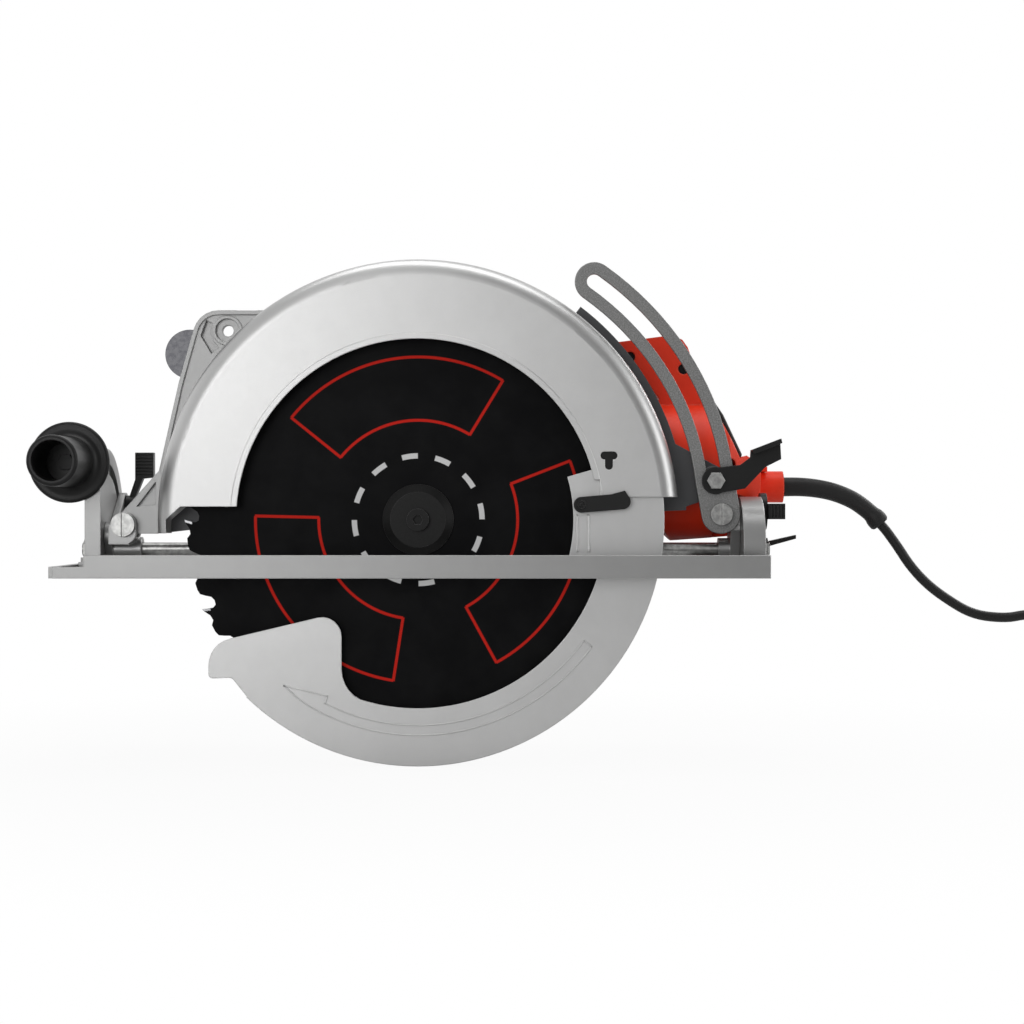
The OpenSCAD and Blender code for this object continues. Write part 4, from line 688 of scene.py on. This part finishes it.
def ridge_arc(mesh, r, start, end, width, low, high):
    """A bar that is spun about the arbor"""
    made = bmesh.ops.create_grid(mesh, x_segments=1, y_segments=1, size=1)["verts"]
    for v in made:
        rr = r + (width / 2 if v.co.x > 0 else -width / 2)
        v.co = at_angle(rr, start) + Vector((0, high if v.co.y > 0 else low, 0))
    face = made[0].link_faces[0]
    bmesh.ops.spin(mesh, geom=[face, *face.edges, *face.verts], cent=(arbor.x, 0, arbor.z),
        axis=(0, -1, 0), dvec=(0, 0, 0), angle=math.radians(end - start), steps=ridge_steps,
        use_merge=False, use_duplicate=False)


arrow = bmesh.new()
low, high = guard_face + sunk, guard_face - ridge_height
tail, tip, barb = (0.1808, 324), (0.1874, 231), (0.1742, 243)
shank, heel = (0.1808, 243.2), (0.1895, 236.6)
for r, start in (shank, heel):
    ridge_arc(arrow, r, start, tail[1], ridge_width, low, high)
for a, b in [(tail, (heel[0], tail[1])), (shank, barb), (barb, tip), (tip, heel)]:
    ridge_bar(arrow, at_angle(*a), at_angle(*b), ridge_width, low, high)
guard_arrow = finished("guard_arrow", arrow, guard_alloy, "lower_guard")
print("arrow with", len(guard_arrow.data.polygons), "faces")

# %% [markdown]
# ## Beads and rivet by the lift lever
# The lower guard is stiffened by two short upright beads under its lever, and the lever turns
# on a rivet. A bead is a bar with a rounded back. The rivet is a small profile that is spun
# about its own axis, which is the usual way to turn a round part.

# %% Guard beads and rivet
bead_places, bead_foot, bead_top = (0.4015, 0.4115), 0.022, 0.055
bead_width, bead_height, bead_round = 0.0028, 0.0014, 0.0011
turn_steps = 48


def round_edges(mesh, edges, width, clamp):
    """Bevel these edges to a round of this width"""
    bmesh.ops.bevel(mesh, geom=edges, offset=width, offset_type="OFFSET", segments=4, profile=0.5,
        affect="EDGES", clamp_overlap=clamp, material=-1)


def smooth_faces(shape, crease):
    """Smooth shading, apart from edges that are sharper than this many degrees"""
    shape.data.shade_smooth()
    shape.data.set_sharp_from_angle(angle=math.radians(crease))


beads = bmesh.new()
for x in bead_places:
    ridge_bar(beads, Vector((x, 0, bead_foot)), Vector((x, 0, bead_top)), bead_width,
        guard_face + sunk, guard_face - bead_height)
bmesh.ops.remove_doubles(beads, verts=beads.verts, dist=1e-6)
back = [e for e in beads.edges if all(v.co.y < guard_face - 0.001 for v in e.verts)]
round_edges(beads, back, bead_round, clamp=False)
guard_beads = finished("guard_beads", beads, guard_alloy, "lower_guard")


def turned_piece(name, profile, face_y, centre, finish, body):
    """A profile of (radius, depth) points, spun about an axis along Y"""
    mesh = bmesh.new()
    row = [mesh.verts.new((centre.x + r, face_y + depth, centre.z)) for r, depth in profile]
    edges = [mesh.edges.new(pair) for pair in zip(row, row[1:])]
    bmesh.ops.spin(mesh, geom=row + edges, cent=(centre.x, 0, centre.z), axis=(0, 1, 0), dvec=(0, 0, 0),
        angle=2 * math.pi, steps=turn_steps, use_merge=True, use_duplicate=False)
    shape = finished(name, mesh, finish, body)
    smooth_faces(shape, crease=35)
    return shape


lever_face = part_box("lift_lever")[0].y
rivet_at = at_angle(0.1445, 5.2)
rivet_profile = [
    (0.0, -0.0011), (0.0012, -0.0011), (0.0019, -0.0005), (0.0024, -0.0006), (0.0034, -0.0013),
    (0.0042, -0.0009), (0.0046, 0.0002), (0.0, 0.0002)]
rivet = turned_piece("lever_rivet", rivet_profile, lever_face, rivet_at, flange_oxide, "lower_guard")
print("beads and rivet:", len(guard_beads.data.polygons) + len(rivet.data.polygons), "faces")

# %% [markdown]
# ## Painted shade behind the keyhole
# A keyhole in the upper guard lets the guard's screw be reached. A black disc on the inside of
# the wall is painted shade for the shadow inside the guard, so the hole reads black.

# %% Keyhole painted shade
wall_in = -0.0165
shade_disc_at = at_angle(0.176, 17.3)
shade_disc_profile = [(0.0, -0.0002), (0.0105, -0.0002), (0.0112, 0.0003), (0.0105, 0.0008), (0.0, 0.0008)]
# The black disc is painted shade, standing in for the dark inside of the guard
shade_disc = turned_piece("keyhole_painted_shade", shade_disc_profile, wall_in, shade_disc_at, black_nylon, "saw_body")
print("seal with", len(shade_disc.data.polygons), "faces")

# %% [markdown]
# ## The lip inside the guard's front end
# At the front the far wall of the upper guard reaches lower than the near one. A short plate
# carries that wall down, in dark paint as painted shade for the shadow inside the guard.

# %% Guard lip
lip_near, lip_far = 0.0168, 0.0195
lip_outline = [(0.0385, 0.0392), (0.0585, 0.0415), (0.066, 0.047), (0.067, 0.0635), (0.0385, 0.0635)]
plate = bmesh.new()
plate_face = plate.faces.new([plate.verts.new((x, lip_near, z)) for x, z in lip_outline])
raise_face(plate, plate_face, lip_far - lip_near)
# The dark paint here is painted shade: the wall is the guard's alloy, lying in shadow
lip = finished("guard_lip", plate, housing_paint, "saw_body")
print("lip with", len(lip.data.polygons), "faces")

# %% [markdown]
# ## Rounded shells
# The handle halves, the levers and the soft strip on the handle are moulded, the foot is cast
# and the depth bracket is tumbled, so none of their outer edges is sharp. A copy of each solid
# is merged and cleaned, and its hard edges are bevelled. Edges on the seam between the two
# halves of the handle stay sharp, since the halves meet there. On the lower guard only the
# edges of its outer face are rounded.

# %% Rounded mouldings
hard_edge, flat_edge = math.radians(30), math.radians(1)
seam = handle_mid / mm_per_m
rivet_room = 0.01


def every_edge(edge):
    return True


def off_seam(edge):
    return not all(abs(v.co.y - seam) < 2e-4 for v in edge.verts)


def on_guard_face(edge):
    middle = (edge.verts[0].co + edge.verts[1].co) / 2
    on_face = all(abs(v.co.y - guard_face) < 1e-4 for v in edge.verts)
    return on_face and (middle - rivet_at).xz.length > rivet_room


def rounded_copy(name, node, width, finish, body, choose=every_edge):
    """A copy of a solid with the chosen hard edges rounded, to take the solid's place"""
    mesh = bmesh.new()
    mesh.from_mesh(nodes[node].data)
    bmesh.ops.remove_doubles(mesh, verts=mesh.verts, dist=2e-5)
    bmesh.ops.dissolve_limit(mesh, angle_limit=flat_edge, verts=mesh.verts, edges=mesh.edges)
    sharp = [e for e in mesh.edges if e.is_manifold and e.calc_face_angle(0) > hard_edge and choose(e)]
    round_edges(mesh, sharp, width, clamp=True)
    shape = finished(name, mesh, finish, body)
    smooth_faces(shape, crease=38)
    shape.modifiers.new("even_normals", "WEIGHTED_NORMAL").keep_sharp = True
    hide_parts(node)
    return shape


shells = [
    rounded_copy("lower_casting", "lower_guard", 0.0016, guard_alloy, "lower_guard", on_guard_face),
    rounded_copy("bracket_bar", "depth_bracket", 0.0012, bracket_steel, "depth_bracket"),
    rounded_copy("depth_handle", "depth_lever", 0.0012, black_nylon, "depth_lever"),
    rounded_copy("lift_handle", "lift_lever", 0.0012, black_nylon, "lower_guard"),
    rounded_copy("front_bevel_handle", "front_bevel_lever", 0.0005, black_nylon, "front_bevel_lever"),
    rounded_copy("rear_bevel_handle", "rear_bevel_lever", 0.0005, black_nylon, "rear_bevel_lever"),
    rounded_copy("foot_casting", "foot_plate", 0.0011, foot_alloy, "foot"),
    rounded_copy("handle_shell_near", "handle_left", 0.004, red_shell, "saw_body", off_seam),
    rounded_copy("handle_shell_far", "handle_right", 0.004, red_shell, "saw_body", off_seam),
    rounded_copy("handle_strip", "rubber_grip", 0.003, soft_rubber, "saw_body"),
]
print("rounded:", [(shape.name, len(shape.data.polygons)) for shape in shells])
